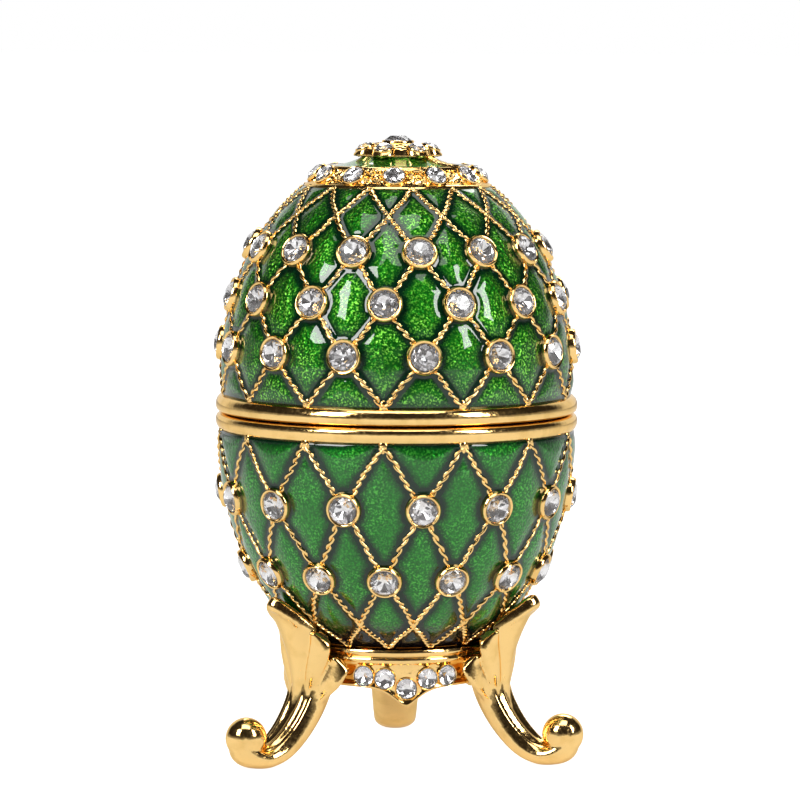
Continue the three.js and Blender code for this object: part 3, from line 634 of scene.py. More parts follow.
def band(egg, crown):
    """The conical band: plain borders, a plain round about each stone and pebbled panels"""
    foot, *_ = crown_levels(egg, crown)
    wide, narrow, rise = crown.band_foot_radius, crown.band_top_radius, crown.band_rise
    inner = (narrow - 1.2, foot - 0.6)
    lip = ((wide + 0.1, foot - 0.75), (wide + 0.42, foot - 0.55), (wide + 0.54, foot - 0.34),
           (wide + 0.44, foot - 0.14), (wide + 0.22, foot - 0.02), (wide + 0.08, foot + 0.05))
    top = ((narrow - 0.02, foot + rise + 0.05), (narrow - 0.25, foot + rise + 0.1),
           (narrow - 0.5, foot + rise - 0.05), (narrow - 0.9, foot + rise - 0.5))
    face_rows = 26
    face = [(blend(wide, narrow, k / face_rows), foot + rise * k / face_rows)
            for k in range(face_rows + 1)]
    profile = np.array([inner, *lip, *face, *top, inner])
    first_face = 1 + len(lip)
    rows = len(profile) - 1
    slant = math.hypot(wide - narrow, rise)
    spacing = 360 / crown.band_stones

    def place(u, v):
        index = np.rint(v * rows).astype(int)
        radius, height = profile[index, 0], profile[index, 1]
        degrees = 360 * u
        part = (index - first_face) / face_rows
        on_face = (part > 0) & (part < 1)
        off = np.mod(degrees - math.degrees(crown.band_turn) + spacing / 2, spacing)
        aside = np.radians(off - spacing / 2) * radius
        from_stone = np.hypot(aside, (part - 0.5) * slant)
        border = np.minimum(part, 1 - part) * slant
        panel = ease(border, 0.28, 0.42) * ease(from_stone, 1.42, 1.58)
        points = polar(radius, degrees, height)
        pebbles = rough(points, 0.33)
        lift = np.where(on_face, panel * (-0.26 + 0.42 * np.clip(pebbles, -0.4, 0.5)), 0)
        lift = lift + 0.02 * rough(points, 1.6)
        return polar(radius + lift * 0.7, degrees, height + lift * 0.7)

    return sheet(504, rows, place)


def skirt(egg, crown):
    """The concave ring of green enamel between the band and the rosette"""
    _, foot, *_ = crown_levels(egg, crown)
    outer, inner = crown.band_top_radius - 0.25, crown.rosette_radius + 0.2
    outer_part = 0.8

    def place(u, v):
        part = np.clip(v / outer_part, 0, 1)
        back = np.clip((v - outer_part) / (1 - outer_part), 0, 1)
        part = np.where(v > outer_part, 1 - back, part)
        radius = blend(outer, inner, part)
        height = foot + crown.skirt_rise * part ** 1.9
        creep = 0.1 * (bump_at(part, 0, 0.05) + bump_at(part, 1, 0.08))
        sunk = np.where(at_an_end(back), creep, -0.3)
        room = np.clip(np.minimum(part, 1 - part) * 3, 0, 0.8)
        return polar(radius, 360 * u, height + sunk), room

    return sheet(224, 24, place, "room")


def rosette(egg, crown, jewel):
    """The six-lobed plate, domed up to the setting of the middle stone"""
    *_, under, top = crown_levels(egg, crown)
    peak = top + crown.finial_rise
    radius, lobe = crown.rosette_radius, crown.rosette_lobe
    seat = jewel.lattice_stone
    rows_out = ((0.0, "low"), (0.6, "low"), (0.93, "low"), (0.99, "edge"), (1.0, "round"),
                (0.985, "brim"))
    domed = tuple((part, "top") for part in np.linspace(0.955, 0.36, 22))
    profile = (*rows_out, *domed, (0.0, "top"))
    reach = np.array([part for part, _ in profile])
    kind = np.array([name for _, name in profile])
    rows = len(profile) - 1

    def outline(degrees):
        off = np.mod(degrees - math.degrees(crown.rosette_turn) + 30, 60) - 30
        aside = radius * np.sin(np.radians(off))
        lobed = radius * np.cos(np.radians(off)) + np.sqrt(np.clip(lobe ** 2 - aside ** 2, 0, None))
        return np.maximum(np.where(np.abs(aside) < lobe, lobed, 0), radius + 0.35)

    def place(u, v):
        index = np.rint(v * rows).astype(int)
        degrees = 360 * u
        distance = reach[index] * outline(degrees)
        dome = np.interp(
            distance, (0, seat, seat + 0.3, radius * 0.8, radius, radius + lobe),
            (peak - 0.7, peak - 0.08, peak - 0.16, top + 0.45, top + 0.2, top - 0.3))
        sort = kind[index]
        height = np.select(
            [sort == "low", sort == "edge", sort == "round", sort == "brim"],
            [under - 0.05, under + 0.02, under + 0.14, under + 0.3], dome)
        points = polar(distance, degrees, height)
        between = ease(distance, seat + 0.5, seat + 0.9) * (sort == "top")
        lift = between * 0.14 * np.clip(rough(points, 0.4), -0.5, 0.4)
        return polar(distance, degrees, height + lift)

    return sheet(240, rows, place)


def rosette_frames(egg, crown):
    *_, top = crown_levels(egg, crown)
    first = math.degrees(crown.rosette_turn)
    return [upright_frame(crown.rosette_radius, first + 60 * k, top + 0.12, 20)
            for k in range(6)]


def finial_frame(egg, crown):
    *_, top = crown_levels(egg, crown)
    return upright_frame(0, 0, top + crown.finial_rise - 0.55)


def strap(egg, crown):
    """The pebbled strap across the skirt"""
    _, foot, *_ = crown_levels(egg, crown)
    outer, inner = crown.band_top_radius - 0.05, crown.rosette_radius
    degrees = math.degrees(crown.strap_turn)
    away, side = polar(1, degrees, 0), polar(1, degrees + 90, 0)

    def place(u, v):
        angle = 2 * math.pi * v
        aside = crown.strap_width / 2 * np.sign(np.cos(angle)) * np.abs(np.cos(angle)) ** 0.4
        lift = 0.32 * np.sign(np.sin(angle)) * np.abs(np.sin(angle)) ** 0.4
        distance = blend(outer, inner, u)
        height = foot + crown.skirt_rise * u ** 1.9 + lift
        points = away * distance[:, None] + side * aside[:, None]
        points[:, 2] = height
        points[:, 2] += 0.1 * rough(points, 0.35) * (np.sin(angle) > 0.2)
        end = at_an_end(u)
        points[end] = (away * distance[:, None])[end]
        points[end, 2] = (foot + crown.skirt_rise * u ** 1.9)[end]
        return points

    return sheet(30, 24, place)


# The stand


def apron_foot(stand, degrees):
    """Height of the apron's lower edge, lowest half way between two legs"""
    degrees = np.asarray(degrees, float)
    near = np.ones_like(degrees)
    for start, end in APRONS:
        along = np.mod(degrees - start, 360)
        inside = along <= end - start
        off = np.abs(along - (end - start) / 2) / ((end - start) / 2)
        near = np.where(inside, off, near)
    shoulder = 1 - np.exp(-(np.hypot(near, 0.04) / 0.17) ** 1.4)
    return stand.collar_top - blend(stand.drop_at_point, stand.drop_at_leg, shoulder)


def apron_frames(stand):
    """Frames of the five stones between each two legs, the middle one the lowest"""
    frames = []
    for start, end in APRONS:
        for i in range(-2, 3):
            degrees = (start + end) / 2 + i * math.degrees(stand.stone_step)
            above_point = (2.5, 3.6, 3.85)[abs(i)]
            height = stand.collar_top - stand.drop_at_point + above_point
            frames.append(upright_frame(stand.collar_radius - 0.33, degrees, height, 90))
    return frames


def collar(egg, stand):
    """The ring that carries the egg, with its two beads, and the apron with its pointed edge"""
    top, radius = stand.collar_top, stand.collar_radius
    seat = bowl_radius_at(egg, top)
    fixed = ((seat - 0.25, top - 0.3), (seat + 0.02, top + 0.12), (seat + 0.2, top + 0.18),
             (radius - 0.12, top + 0.02), (radius + 0.02, top - 0.22), (radius - 0.02, top - 0.5),
             (radius - 0.2, top - 0.68), (radius - 0.22, top - 0.76), (radius - 0.06, top - 0.9),
             (radius + 0.02, top - 1.15), (radius - 0.04, top - 1.4), (radius - 0.24, top - 1.58),
             (radius - 0.34, top - 1.75))
    edge = ((-0.36, 0.62), (-0.26, 0.48), (-0.2, 0.3), (-0.28, 0.12), (-0.5, 0), (-0.9, 0),
            (-1.25, 0.15), (-1.5, 0.5))
    face_rows = 12
    rows = len(fixed) + face_rows + len(edge) + 1

    def place(u, v):
        index = np.rint(v * rows).astype(int) % rows
        degrees = 360 * u
        foot = apron_foot(stand, degrees)
        out = np.zeros(len(u))
        up = np.zeros(len(u))
        for k, (at, height) in enumerate(fixed):
            out[index == k], up[index == k] = at, height
        for k in range(face_rows):
            here = index == len(fixed) + k
            part = (k + 1) / (face_rows + 1)
            out[here] = radius - 0.36
            up[here] = blend(fixed[-1][1], foot[here] + 0.75, part)
        for k, (at, height) in enumerate(edge):
            here = index == len(fixed) + face_rows + k
            out[here], up[here] = radius + at, foot[here] + height
        under = index == rows - 1
        out[under], up[under] = seat - 1.3, top - 1.9
        points = polar(out, degrees, up)
        on_face = (index >= len(fixed)) & (index < len(fixed) + face_rows)
        dents = 0.1 * np.clip(rough(points, 0.55), -0.6, 0.1) * on_face
        swell = 0.03 * rough(points, 2.0)
        return polar(out + dents + swell, degrees, up)

    return sheet(420, rows, place)


# One leg, drawn in its own plane: out from the egg's axis, sideways, up. Each station of the stem
# has its share of the way out and up, its thickness and half its width.
STEM = ((0, 0.886, 1.3, 3.2), (0.03, 0.675, 1.75, 3.15), (0.125, 0.455, 1.62, 2.95),
        (0.305, 0.236, 1.5, 2.75), (0.515, 0.073, 1.42, 2.6), (0.715, 0.0, 1.3, 2.5),
        (0.875, 0.0, 1.3, 2.4), (1.01, 0.05, 1.5, 2.2), (1.09, 0.15, 1.2, 1.9))
# A lobe of the leaf: its tip out from the collar and up from the collar's top, half its width and
# where that is reached, how far its edges go back and drop, how late it bends out, how much its
# face bulges along the way and at the tip, how proud it stands, the shares of its length in which
# its thickness and its width end, how much its width tapers, and the roll under its tip
MAIN_LOBE = dict(
    out=6.5, up=5.62, half=3.0, full=0.95, back=4.0, drop=3.5, bend=2.3,
    bulge=-0.4, lip=0, proud=0.45, flat=0.06, round=0.08, taper=0, roll=0.2)
SECOND_LOBE = dict(
    out=2.5, up=2.2, half=1.8, full=0.75, back=1.0, drop=0.7, bend=1.6,
    bulge=0.35, lip=0.55, proud=-0.2, flat=0.05, round=0.34, taper=1, roll=0)
THIRD_LOBE = dict(
    out=0.8, up=-0.6, half=2.1, full=0.65, back=1.2, drop=1.0, bend=1.3,
    bulge=0.4, lip=0.6, proud=-0.5, flat=0.06, round=0.45, taper=1, roll=0)
LOBES = ((MAIN_LOBE, 0), (SECOND_LOBE, 3.4), (SECOND_LOBE, -3.4),
         (THIRD_LOBE, 4.9), (THIRD_LOBE, -4.9))
LOBE_ROOT_WIDTH = 0.3
LOBE_THICKNESS = 1.25
LOBE_CLEARANCE = 0.62
LEAF_ROOT_OUT = 2.3
LEAF_ROOT_UP = -8.2
LEAF_ROOT_FLARE = 1.35
LEAF_FLARE_SHARE = 0.35


def stem(stand):
    """The ribbed stem of a leg, from inside the collar down to its ball"""
    stations = np.array([
        (blend(stand.collar_radius, stand.foot_reach, out),
         blend(stand.sole, stand.collar_top, up), thick, wide)
        for out, up, thick, wide in STEM])

    def place(u, v):
        nudge = 0.01
        here = through(stations, u)
        ahead = (through(stations, u + nudge) - through(stations, u - nudge))[:, :2]
        ahead /= np.linalg.norm(ahead, axis=1)[:, None]
        angle = 2 * math.pi * v
        cosine, sine = np.cos(angle), np.sin(angle)
        aside = np.abs(sine)
        ridge = 0.34 * bump_at(aside, 0.34, 0.13) + 0.3 * bump_at(aside, 0.76, 0.12)
        ridge -= 0.26 * bump_at(aside, 0.55, 0.09) + 0.14 * bump_at(aside, 0, 0.18)
        ridge = ridge * (cosine > 0) * ease(0.78 - u, 0, 0.35)
        thick = here[:, 2] * cosine * (1 + 0.12 * sine ** 2) + ridge
        side = here[:, 3] * np.sign(sine) * np.abs(sine) ** blend(0.85, 1.05, ease(u, 0.3, 0.7))
        end = at_an_end(u)
        thick, side = np.where(end, 0, thick), np.where(end, 0, side)
        return np.stack([
            here[:, 0] + ahead[:, 1] * thick * -1,
            side,
            np.maximum(0.02, here[:, 1] + ahead[:, 0] * thick)], axis=-1)

    return sheet(110, 40, place)


def ball_foot(stand):
    """The ball that ends a leg, with a scroll line curling into its sides"""
    def place(u, v):
        around, polar_angle = 2 * math.pi * u, math.pi * v
        out = np.sin(polar_angle) * np.cos(around)
        up = np.sin(polar_angle) * np.sin(around)
        side = np.cos(polar_angle)
        reach = np.hypot(out, up)
        spiral = np.mod(around - 5.2 * reach, 2 * math.pi) - math.pi
        line = bump_at(spiral, 0, 0.22) * ease(reach, 0.12, 0.4) * ease(0.8 - reach, 0, 0.2)
        radius = stand.ball * (1 - 0.05 * line)
        return np.stack([
            stand.foot_reach + radius * out,
            radius * 0.97 * side,
            stand.ball_height + radius * up], axis=-1)

    return sheet(72, 40, place)


def last_part(along, share):
    """0 until the last share of the way, then rising to 1 at its end"""
    return np.clip(along / share + 1 - 1 / share, 0, 1)


def leaf_lobe(egg, stand, shape, aside):
    """One lobe of a leg's leaf, kept clear of the bowl"""
    wall = LOBE_THICKNESS

    def place(u, v):
        angle = 2 * math.pi * v
        across, face = np.cos(angle), np.sin(angle)
        flare = np.clip(1 - u / LEAF_FLARE_SHARE, 0, 1)
        out = stand.collar_radius + blend(LEAF_ROOT_OUT, shape["out"], u ** shape["bend"])
        out = out + LEAF_ROOT_FLARE * flare ** 2
        up = stand.collar_top + blend(LEAF_ROOT_UP, shape["up"], u)
        slope_out = (shape["out"] - LEAF_ROOT_OUT) * shape["bend"] * u ** (shape["bend"] - 1)
        slope_out = slope_out - 2 * LEAF_ROOT_FLARE / LEAF_FLARE_SHARE * flare
        slope_up = shape["up"] - LEAF_ROOT_UP
        size = np.hypot(slope_out, slope_up)
        lean_out, lean_up = slope_up / size, -slope_out / size
        half = shape["half"] * blend(LOBE_ROOT_WIDTH, 1, ease(u, 0.05, shape["full"]))
        half = half * np.sqrt(1 - shape["taper"] * last_part(u, shape["round"]) ** 2)
        out = out - shape["back"] * u ** 2 * across ** 2
        up = up - shape["drop"] * u ** 2 * across ** 2
        side = aside * u ** 0.75 + half * across
        front = np.clip(face, 0, 1)
        roll = bump_at(u, 0.945, 0.035)
        hollow = blend(shape["bulge"], shape["lip"], ease(u, 0.85, 1)) * (1 - across ** 2)
        hollow = hollow * ease(u, 0.15, 0.6) + shape["proud"] * ease(u, 0.05, 0.4)
        tip = np.sqrt(1 - last_part(u, shape["flat"]) ** 2)
        lift = wall / 2 * np.sign(face) * np.sqrt(np.abs(face))
        lift = (lift + front * (hollow + shape["roll"] * roll)) * tip - wall / 2
        lift = np.where(u < TINY, -wall / 2, lift)
        out, up = out + lean_out * lift, up + lean_up * lift
        clear = bowl_radius_at(egg, up) + LOBE_CLEARANCE
        grow = np.maximum(1, clear / np.hypot(out, side))
        return np.stack([out * grow, side * grow, up], axis=-1)

    return sheet(64, 48, place)


# Finishes


class Value:
    """A shader socket that takes part in Python sums"""

    def __init__(self, finish, socket):
        self.finish = finish
        self.socket = socket

    def maths(self, operation, first, second):
        return self.finish.node("ShaderNodeMath", {"operation": operation}, {0: first, 1: second})

    def __add__(self, other):
        return self.maths("ADD", self, other)

    __radd__ = __add__

    def __sub__(self, other):
        return self.maths("SUBTRACT", self, other)

    def __rsub__(self, other):
        return self.maths("SUBTRACT", other, self)

    def __mul__(self, other):
        return self.maths("MULTIPLY", self, other)

    __rmul__ = __mul__


class Finish:
    """A material or world in the making"""

    def __init__(self, owner):
        owner.use_nodes = True
        self.owner = owner
        self.tree = owner.node_tree
        self.tree.nodes.clear()

    def node(self, kind, settings=None, sockets=None, output=0):
        """Adds a node, sets it, fills or links its sockets and gives one of its outputs"""
        made = self.tree.nodes.new(kind)
        for name, value in (settings or {}).items():
            setattr(made, name, value)
        for key, value in (sockets or {}).items():
            if isinstance(value, Value):
                self.tree.links.new(value.socket, made.inputs[key])
            else:
                made.inputs[key].default_value = value
        return Value(self, made.outputs[output] if made.outputs else None)

    def coordinates(self):
        """Object coordinates, which are the frame's own because every object is at the origin"""
        return self.node("ShaderNodeTexCoord", output=3)

    def grain(self, where, size, detail=2.0):
        """Noise between 0 and 1 with lumps of a size in millimetres"""
        return self.node(
            "ShaderNodeTexNoise", None,
            {"Vector": where, "Scale": 1 / (size * MM), "Detail": detail, "Roughness": 0.5})

    def between(self, value, low, high, to_low=0.0, to_high=1.0):
        return self.node(
            "ShaderNodeMapRange", {"interpolation_type": "SMOOTHSTEP"},
            {"Value": value, "From Min": low, "From Max": high, "To Min": to_low,
             "To Max": to_high})

    def mix(self, amount, first, second):
        tone = [value if isinstance(value, Value) else (*value, 1) for value in (first, second)]
        return self.node(
            "ShaderNodeMix", {"data_type": "RGBA"}, {0: amount, 6: tone[0], 7: tone[1]}, output=2)

    def bump(self, height, millimetres, strength=1.0):
        return self.node(
            "ShaderNodeBump", None,
            {"Strength": strength, "Distance": millimetres * MM, "Height": height})

    def surface(self, **sockets):
        shader = self.node(
            "ShaderNodeBsdfPrincipled", None,
            {name.replace("_", " "): value for name, value in sockets.items()})
        self.node("ShaderNodeOutputMaterial", None, {"Surface": shader})
        return self.owner


def gold_finish(colours):
    """Polished gold plate on a slightly uneven casting, duller and browner in patches"""
    finish = Finish(bpy.data.materials.new("polished_gold"))
    where = finish.coordinates()
    patches = finish.grain(where, 2.2, 3.0)
    fine = finish.grain(where, 0.35, 3.0)
    wear = finish.between(patches, 0.45, 0.72)
    tone = finish.mix(wear * 0.45, tuple(colours.gold), tuple(colours.worn_gold))
    gloss = finish.between(fine, 0.3, 0.8, 0.08, 0.22)
    cast = finish.grain(where, 1.1) + fine * 0.12
    return finish.surface(
        Base_Color=tone, Metallic=1.0, Roughness=gloss, Specular_Tint=(1, 0.9, 0.7, 1),
        Normal=finish.bump(cast, 0.05, 0.6))


def enamel_finish(colours, name, ground, glint, sparkle, low=None):
    """Clear green enamel over a hammered metal ground: glints under a smooth coat, partly from the
    metal's relief and partly painted in its colour; painted shade beside the metal and, if heights
    are given, above the stand"""
    finish = Finish(bpy.data.materials.new(name))
    where = finish.coordinates()
    room = finish.node("ShaderNodeAttribute", {"attribute_name": "room"}, output=2)
    hammer = finish.node(
        "ShaderNodeTexVoronoi", {"feature": "SMOOTH_F1"},
        {"Vector": where, "Scale": 1 / (0.42 * MM), "Smoothness": 0.5})
    fine = finish.grain(where, 0.24)
    cloud = finish.grain(where, 4.5)
    open_cell = finish.between(room + cloud * 0.4 - 0.2, 0.05, 0.56)
    # Painted shade: the enamel's colour fades to near-black beside the metal, where the cell closes
    glow = open_cell * finish.between(fine, 0.25, 0.7, 0.5, 1.0)
    tone = finish.mix(glow, tuple(colours.deep_enamel), ground)
    # Painted glints: bright specks of the glint colour are mixed into the enamel's colour in
    # patches of the cloud noise
    lit = finish.between(cloud, 0.36, 0.62, 0.25, 1.0)
    painted_glints = finish.between(fine, 0.50, 0.66) * open_cell * lit
    tone = finish.mix(painted_glints * sparkle, tone, glint)
    # Painted shade: below the given heights, just above the stand, the bowl's enamel is painted
    # near-black
    if low:
        height = finish.node("ShaderNodeSeparateXYZ", None, {0: where}, output=2)
        dark = finish.between(height + cloud * 0.003, low[0] * MM, low[1] * MM, 1.0, 0.0)
        tone = finish.mix(dark, tone, tuple(colours.low_enamel))
    relief = hammer + fine * 0.7
    return finish.surface(
        Base_Color=tone, Metallic=open_cell * 0.5 + 0.35, Specular_IOR_Level=0.0,
        Roughness=finish.between(open_cell, 0.0, 1.0, 0.5, 0.34),
        Normal=finish.bump(relief, 0.16 * sparkle, 0.9),
        Coat_Weight=1.0, Coat_Roughness=0.025, Coat_IOR=1.52)


def glass_finish():
    """The clear crown of a stone"""
    finish = Finish(bpy.data.materials.new("rhinestone_glass"))
    return finish.surface(
        Base_Color=(1, 1, 1, 1), Roughness=0.0, IOR=1.56, Transmission_Weight=1.0)


def foil_finish(colours):
    """The silver foil behind a stone, a little tarnished"""
    finish = Finish(bpy.data.materials.new("silver_foil"))
    tarnish = finish.between(finish.grain(finish.coordinates(), 0.8), 0.4, 0.8)
    tone = finish.mix(tarnish, tuple(colours.foil), tuple(colours.dull_foil))
    return finish.surface(Base_Color=tone, Metallic=0.85, Roughness=0.05)


def sizes(context):
    """The sizes of the egg, its lattice, its stones, its crown and its stand, in millimetres"""
    names = ("egg_shape", "egg_lattice", "egg_jewels", "egg_crown", "egg_stand")
    return [Millimetres(getattr(context.scene, name)) for name in names]


def material(name, make, *values):
    """A finish of this script, made when it is first asked for"""
    return bpy.data.materials.get(name) or make(*values)


def gold(context):
    return material("polished_gold", gold_finish, context.scene.egg_finishes)


def enamel(context, half, sparkle, low=None):
    colours = context.scene.egg_finishes
    name = f"{half}_enamel"
    ground, glint = getattr(colours, name), getattr(colours, f"{half}_glint")
    return material(name, enamel_finish, colours, name, tuple(ground), tuple(glint), sparkle, low)


def stone_materials(context):
    foil = material("silver_foil", foil_finish, context.scene.egg_finishes)
    return [material("rhinestone_glass", glass_finish), foil]


def lay_wires(context, half, lattice):
    """Lays two ropes of two strands each from every second column, one each way round"""
    piece = Piece(f"{half}_wires", "gold_plate", [gold(context)])
    for k in range(STONES_IN_ROW):
        for way in (1, -1):
            for strand in (0, 1):
                piece.add(lattice.rope(2 * k, way, strand))
    piece.finish([half])


def melt_enamel(name, look, shape, node):
    piece = Piece(name, "green_enamel", [look])
    piece.add(shape)
    piece.finish([node])


# Operators


class EGG_OT_lid_casting(bpy.types.Operator):
    """Casts the lid: its hollow shell, rim, settings, band, rosette and strap"""
    bl_idname = "egg.lid_casting"
    bl_label = "Lid casting"

    def execute(self, context):
        egg, shape, jewel, crown, _ = sizes(context)
        lattice = make_lid_lattice(egg, crown, shape)
        foot, brim, *_ = crown_levels(egg, crown)
        under_enamel = [
            (float(lid_radius_at(egg, height)) - ENAMEL_BED, height)
            for height in np.linspace(egg.seam + egg.rim_depth + 0.3, foot - 0.6, 40)]
        ceiling = foot - 0.4
        mouth = egg.lip_radius + egg.lip_fit
        step = egg.seam + egg.lip_height + egg.lip_fit
        hollow = []
        for part in np.linspace(1, 0, 24):
            height = blend(step, ceiling, part)
            off = (height - egg.seam - egg.lid_widest) / (egg.lid_rise - egg.wall)
            inner = (egg.lid_radius - egg.wall) * math.sqrt(max(0, 1 - off ** 2))
            hollow.append((inner, height))
        profile = [(0, brim + 0.6), (crown.rosette_radius, foot + 2.3),
                   (crown.band_top_radius - 0.5, foot + 1.2),
                   (crown.band_foot_radius - 0.4, foot - 0.3)]
        profile += under_enamel[::-1] + rim_profile(egg, 1)[::-1]
        profile += [(mouth, egg.seam + 0.02), (mouth, step)] + hollow[::-1] + [(0, ceiling)]
        piece = Piece("lid_casting", "gold_plate", [gold(context)])
        piece.add(lathe(profile, LATHE_STEPS))
        piece.add(band(egg, crown))
        piece.add(rosette(egg, crown, jewel))
        piece.add(strap(egg, crown))
        add_settings(piece, lattice, jewel)
        add_rim_webs(piece, lattice, 0, 1)
        add_knots(piece, lattice)
        for frames, stone, wall, room, rise, steps in (
                (band_frames(egg, crown), jewel.band_stone, 0.2, STONE_ROOM, 0.36, 24),
                (rosette_frames(egg, crown), jewel.rosette_stone, 0.2, 0, 0.34, 24),
                ([finial_frame(egg, crown)], jewel.lattice_stone, 0.3, STONE_ROOM, 0.66, 32)):
            add_collets(piece, frames, stone + wall, stone + room, rise, steps)
        piece.finish(["lid"], 40)
        return {"FINISHED"}


class EGG_OT_lid_wires(bpy.types.Operator):
    """Lays the lid's rope wires"""
    bl_idname = "egg.lid_wires"
    bl_label = "Lid wires"

    def execute(self, context):
        egg, shape, _, crown, _ = sizes(context)
        lay_wires(context, "lid", make_lid_lattice(egg, crown, shape))
        return {"FINISHED"}


class EGG_OT_lid_enamel(bpy.types.Operator):
    """Melts the green enamel into the lid's cells and skirt"""
    bl_idname = "egg.lid_enamel"
    bl_label = "Lid enamel"

    def execute(self, context):
        egg, shape, _, crown, _ = sizes(context)
        look = enamel(context, "lid", 1.0)
        cells = make_lid_lattice(egg, crown, shape).enamel(*ENAMEL_GRID)
        melt_enamel("lid_enamel", look, cells, "lid")
        melt_enamel("skirt_enamel", look, skirt(egg, crown), "lid")
        return {"FINISHED"}


class EGG_OT_bowl_casting(bpy.types.Operator):
    """Casts the bowl: its hollow shell, rim, lip and settings"""
    bl_idname = "egg.bowl_casting"
    bl_label = "Bowl casting"

    def execute(self, context):
        egg, shape, jewel, _, stand = sizes(context)
        lattice = make_bowl_lattice(egg, stand, shape)
        bottom = egg.seam - egg.bowl_widest - egg.bowl_depth
        outside = [(float(bowl_radius_at(egg, height)) - ENAMEL_BED, height)
                   for height in np.linspace(stand.collar_top, egg.seam - egg.rim_depth - 0.3, 40)]
        lip = egg.lip_radius - egg.lip_wall
        floor = bottom + egg.wall
        hollow = []
        for part in np.linspace(0, 1, 28):
            height = blend(floor, egg.seam - egg.rim_depth, math.sin(part * math.pi / 2) ** 2)
            off = max(0, egg.seam - height - egg.bowl_widest) / (egg.bowl_depth - egg.wall)
            inner = (egg.bowl_radius - egg.wall) * math.sqrt(max(0, 1 - off ** 2))
            hollow.append((min(lip, inner), height))
        under = [(float(bowl_radius_at(egg, bottom + rise)) - 0.05, bottom + rise)
                 for rise in (0, 0.2, 0.7, 1.5, 2.5)]
        profile = [(0, bottom)] + under + outside + rim_profile(egg, -1)[::-1]
        lip_top, softened = egg.seam + egg.lip_height, 0.2
        profile += [(egg.lip_radius, egg.seam - 0.02), (egg.lip_radius, lip_top - softened),
                    (egg.lip_radius - softened, lip_top), (lip + softened, lip_top),
                    (lip, lip_top - softened)]
        profile += hollow[::-1] + [(0, floor)]
        piece = Piece("bowl_casting", "gold_plate", [gold(context)])
        piece.add(lathe(profile, LATHE_STEPS))
        add_settings(piece, lattice, jewel)
        add_rim_webs(piece, lattice, 4, -1)
        add_knots(piece, lattice)
        piece.finish(["bowl"], 40)
        return {"FINISHED"}


class EGG_OT_bowl_wires(bpy.types.Operator):
    """Lays the bowl's rope wires"""
    bl_idname = "egg.bowl_wires"
    bl_label = "Bowl wires"

    def execute(self, context):
        egg, shape, _, _, stand = sizes(context)
        lay_wires(context, "bowl", make_bowl_lattice(egg, stand, shape))
        return {"FINISHED"}


class EGG_OT_bowl_enamel(bpy.types.Operator):
    """Melts the green enamel into the bowl's cells"""
    bl_idname = "egg.bowl_enamel"
    bl_label = "Bowl enamel"

    def execute(self, context):
        egg, shape, _, _, stand = sizes(context)
        # The bowl's enamel gets painted shade just above the stand
        look = enamel(context, "bowl", 0.6, SHADE_ABOVE_STAND_HEIGHTS)
        cells = make_bowl_lattice(egg, stand, shape).enamel(*ENAMEL_GRID)
        melt_enamel("bowl_enamel", look, cells, "bowl")
        return {"FINISHED"}


class EGG_OT_stones(bpy.types.Operator):
    """Sets the round stones of the lid, the bowl and the stand"""
    bl_idname = "egg.stones"
    bl_label = "Stones"

    def execute(self, context):
        egg, shape, jewel, crown, stand = sizes(context)
        lid = make_lid_lattice(egg, crown, shape)
        bowl = make_bowl_lattice(egg, stand, shape)
        girdle = shape.bezel_rise * 0.8
        rows = [(f"lid_stones_{name}", jewel.lattice_stone, lid.crossings(level + 1), girdle,
                 [f"lid_stone_{name}_{k + 1:02d}" for k in range(STONES_IN_ROW)])
                for level, name in enumerate(ROWS_OF_STONES)]
        rows += [
            ("bowl_stones_upper", jewel.lattice_stone, bowl.crossings(3), girdle,
             [f"bowl_stone_{k + 1:02d}" for k in range(STONES_IN_ROW)]),
            ("bowl_stones_lower", jewel.lattice_stone, bowl.crossings(2), girdle, ["bowl"]),
            ("band_stones", jewel.band_stone, band_frames(egg, crown), 0.33, ["lid"]),
            ("rosette_stones", jewel.rosette_stone, rosette_frames(egg, crown), 0.3, ["lid"]),
            ("finial_stones", jewel.lattice_stone, [finial_frame(egg, crown)], 0.62,
             ["finial_stone"]),
            ("apron_stones", jewel.apron_stone, apron_frames(stand), 0.31, ["stand"]),
        ]
        for name, radius, frames, height, nodes in rows:
            piece = Piece(name, "rhinestone", stone_materials(context))
            add_stones(piece, jewel, radius, frames, height)
            piece.finish(nodes, 0)
        return {"FINISHED"}


class EGG_OT_stand(bpy.types.Operator):
    """Casts the stand: its collar and apron and its three leaf-topped legs"""
    bl_idname = "egg.stand"
    bl_label = "Stand"

    def execute(self, context):
        egg, _, jewel, _, stand = sizes(context)
        piece = Piece("stand_collar", "gold_plate", [gold(context)])
        piece.add(collar(egg, stand))
        add_collets(piece, apron_frames(stand), jewel.apron_stone + 0.14,
                    jewel.apron_stone + 0.01, 0.33)
        piece.finish(["stand"], 40)
        for name, degrees in zip(("left", "right", "back"), LEG_TURNS):
            leg = Piece(f"stand_leg_{name}", "gold_plate", [gold(context)])
            swing = Matrix.Rotation(math.radians(degrees - 90), 4, "Z")
            leg.add(stem(stand), swing)
            leg.add(ball_foot(stand), swing)
            for shape, aside in LOBES:
                leg.add(leaf_lobe(egg, stand, shape, aside), swing)
            leg.fuse(stand.voxel, 2)
            leg.finish(["stand"])
        return {"FINISHED"}


# Softboxes by name, with their place and size in metres and their power in watts
SOFTBOXES = (
    ("left_softbox", (-0.40, -0.40, 0.40), (0.22, 0.34), 3.0),
    ("right_softbox", (0.46, -0.34, 0.34), (0.16, 0.34), 2.2),
    ("back_softbox", (0.10, 0.50, 0.50), (0.40, 0.20), 1.2),
    ("top_softbox", (0.0, -0.16, 0.50), (0.36, 0.26), 0.9),
)
SOFTBOX_AIM = Vector((0, 0, 0.04))
FLOOR_HALF = 6
WHITE = (1.0, 1.0, 1.0)
FLOOR_GLOW = (0.37, 0.37, 0.37)
FLOOR_POWER = 0.97
DARK_STUDIO = (0.025, 0.021, 0.018)
HAZE = (0.36, 0.36, 0.36)
BACKDROP = (0.86, 0.86, 0.87)
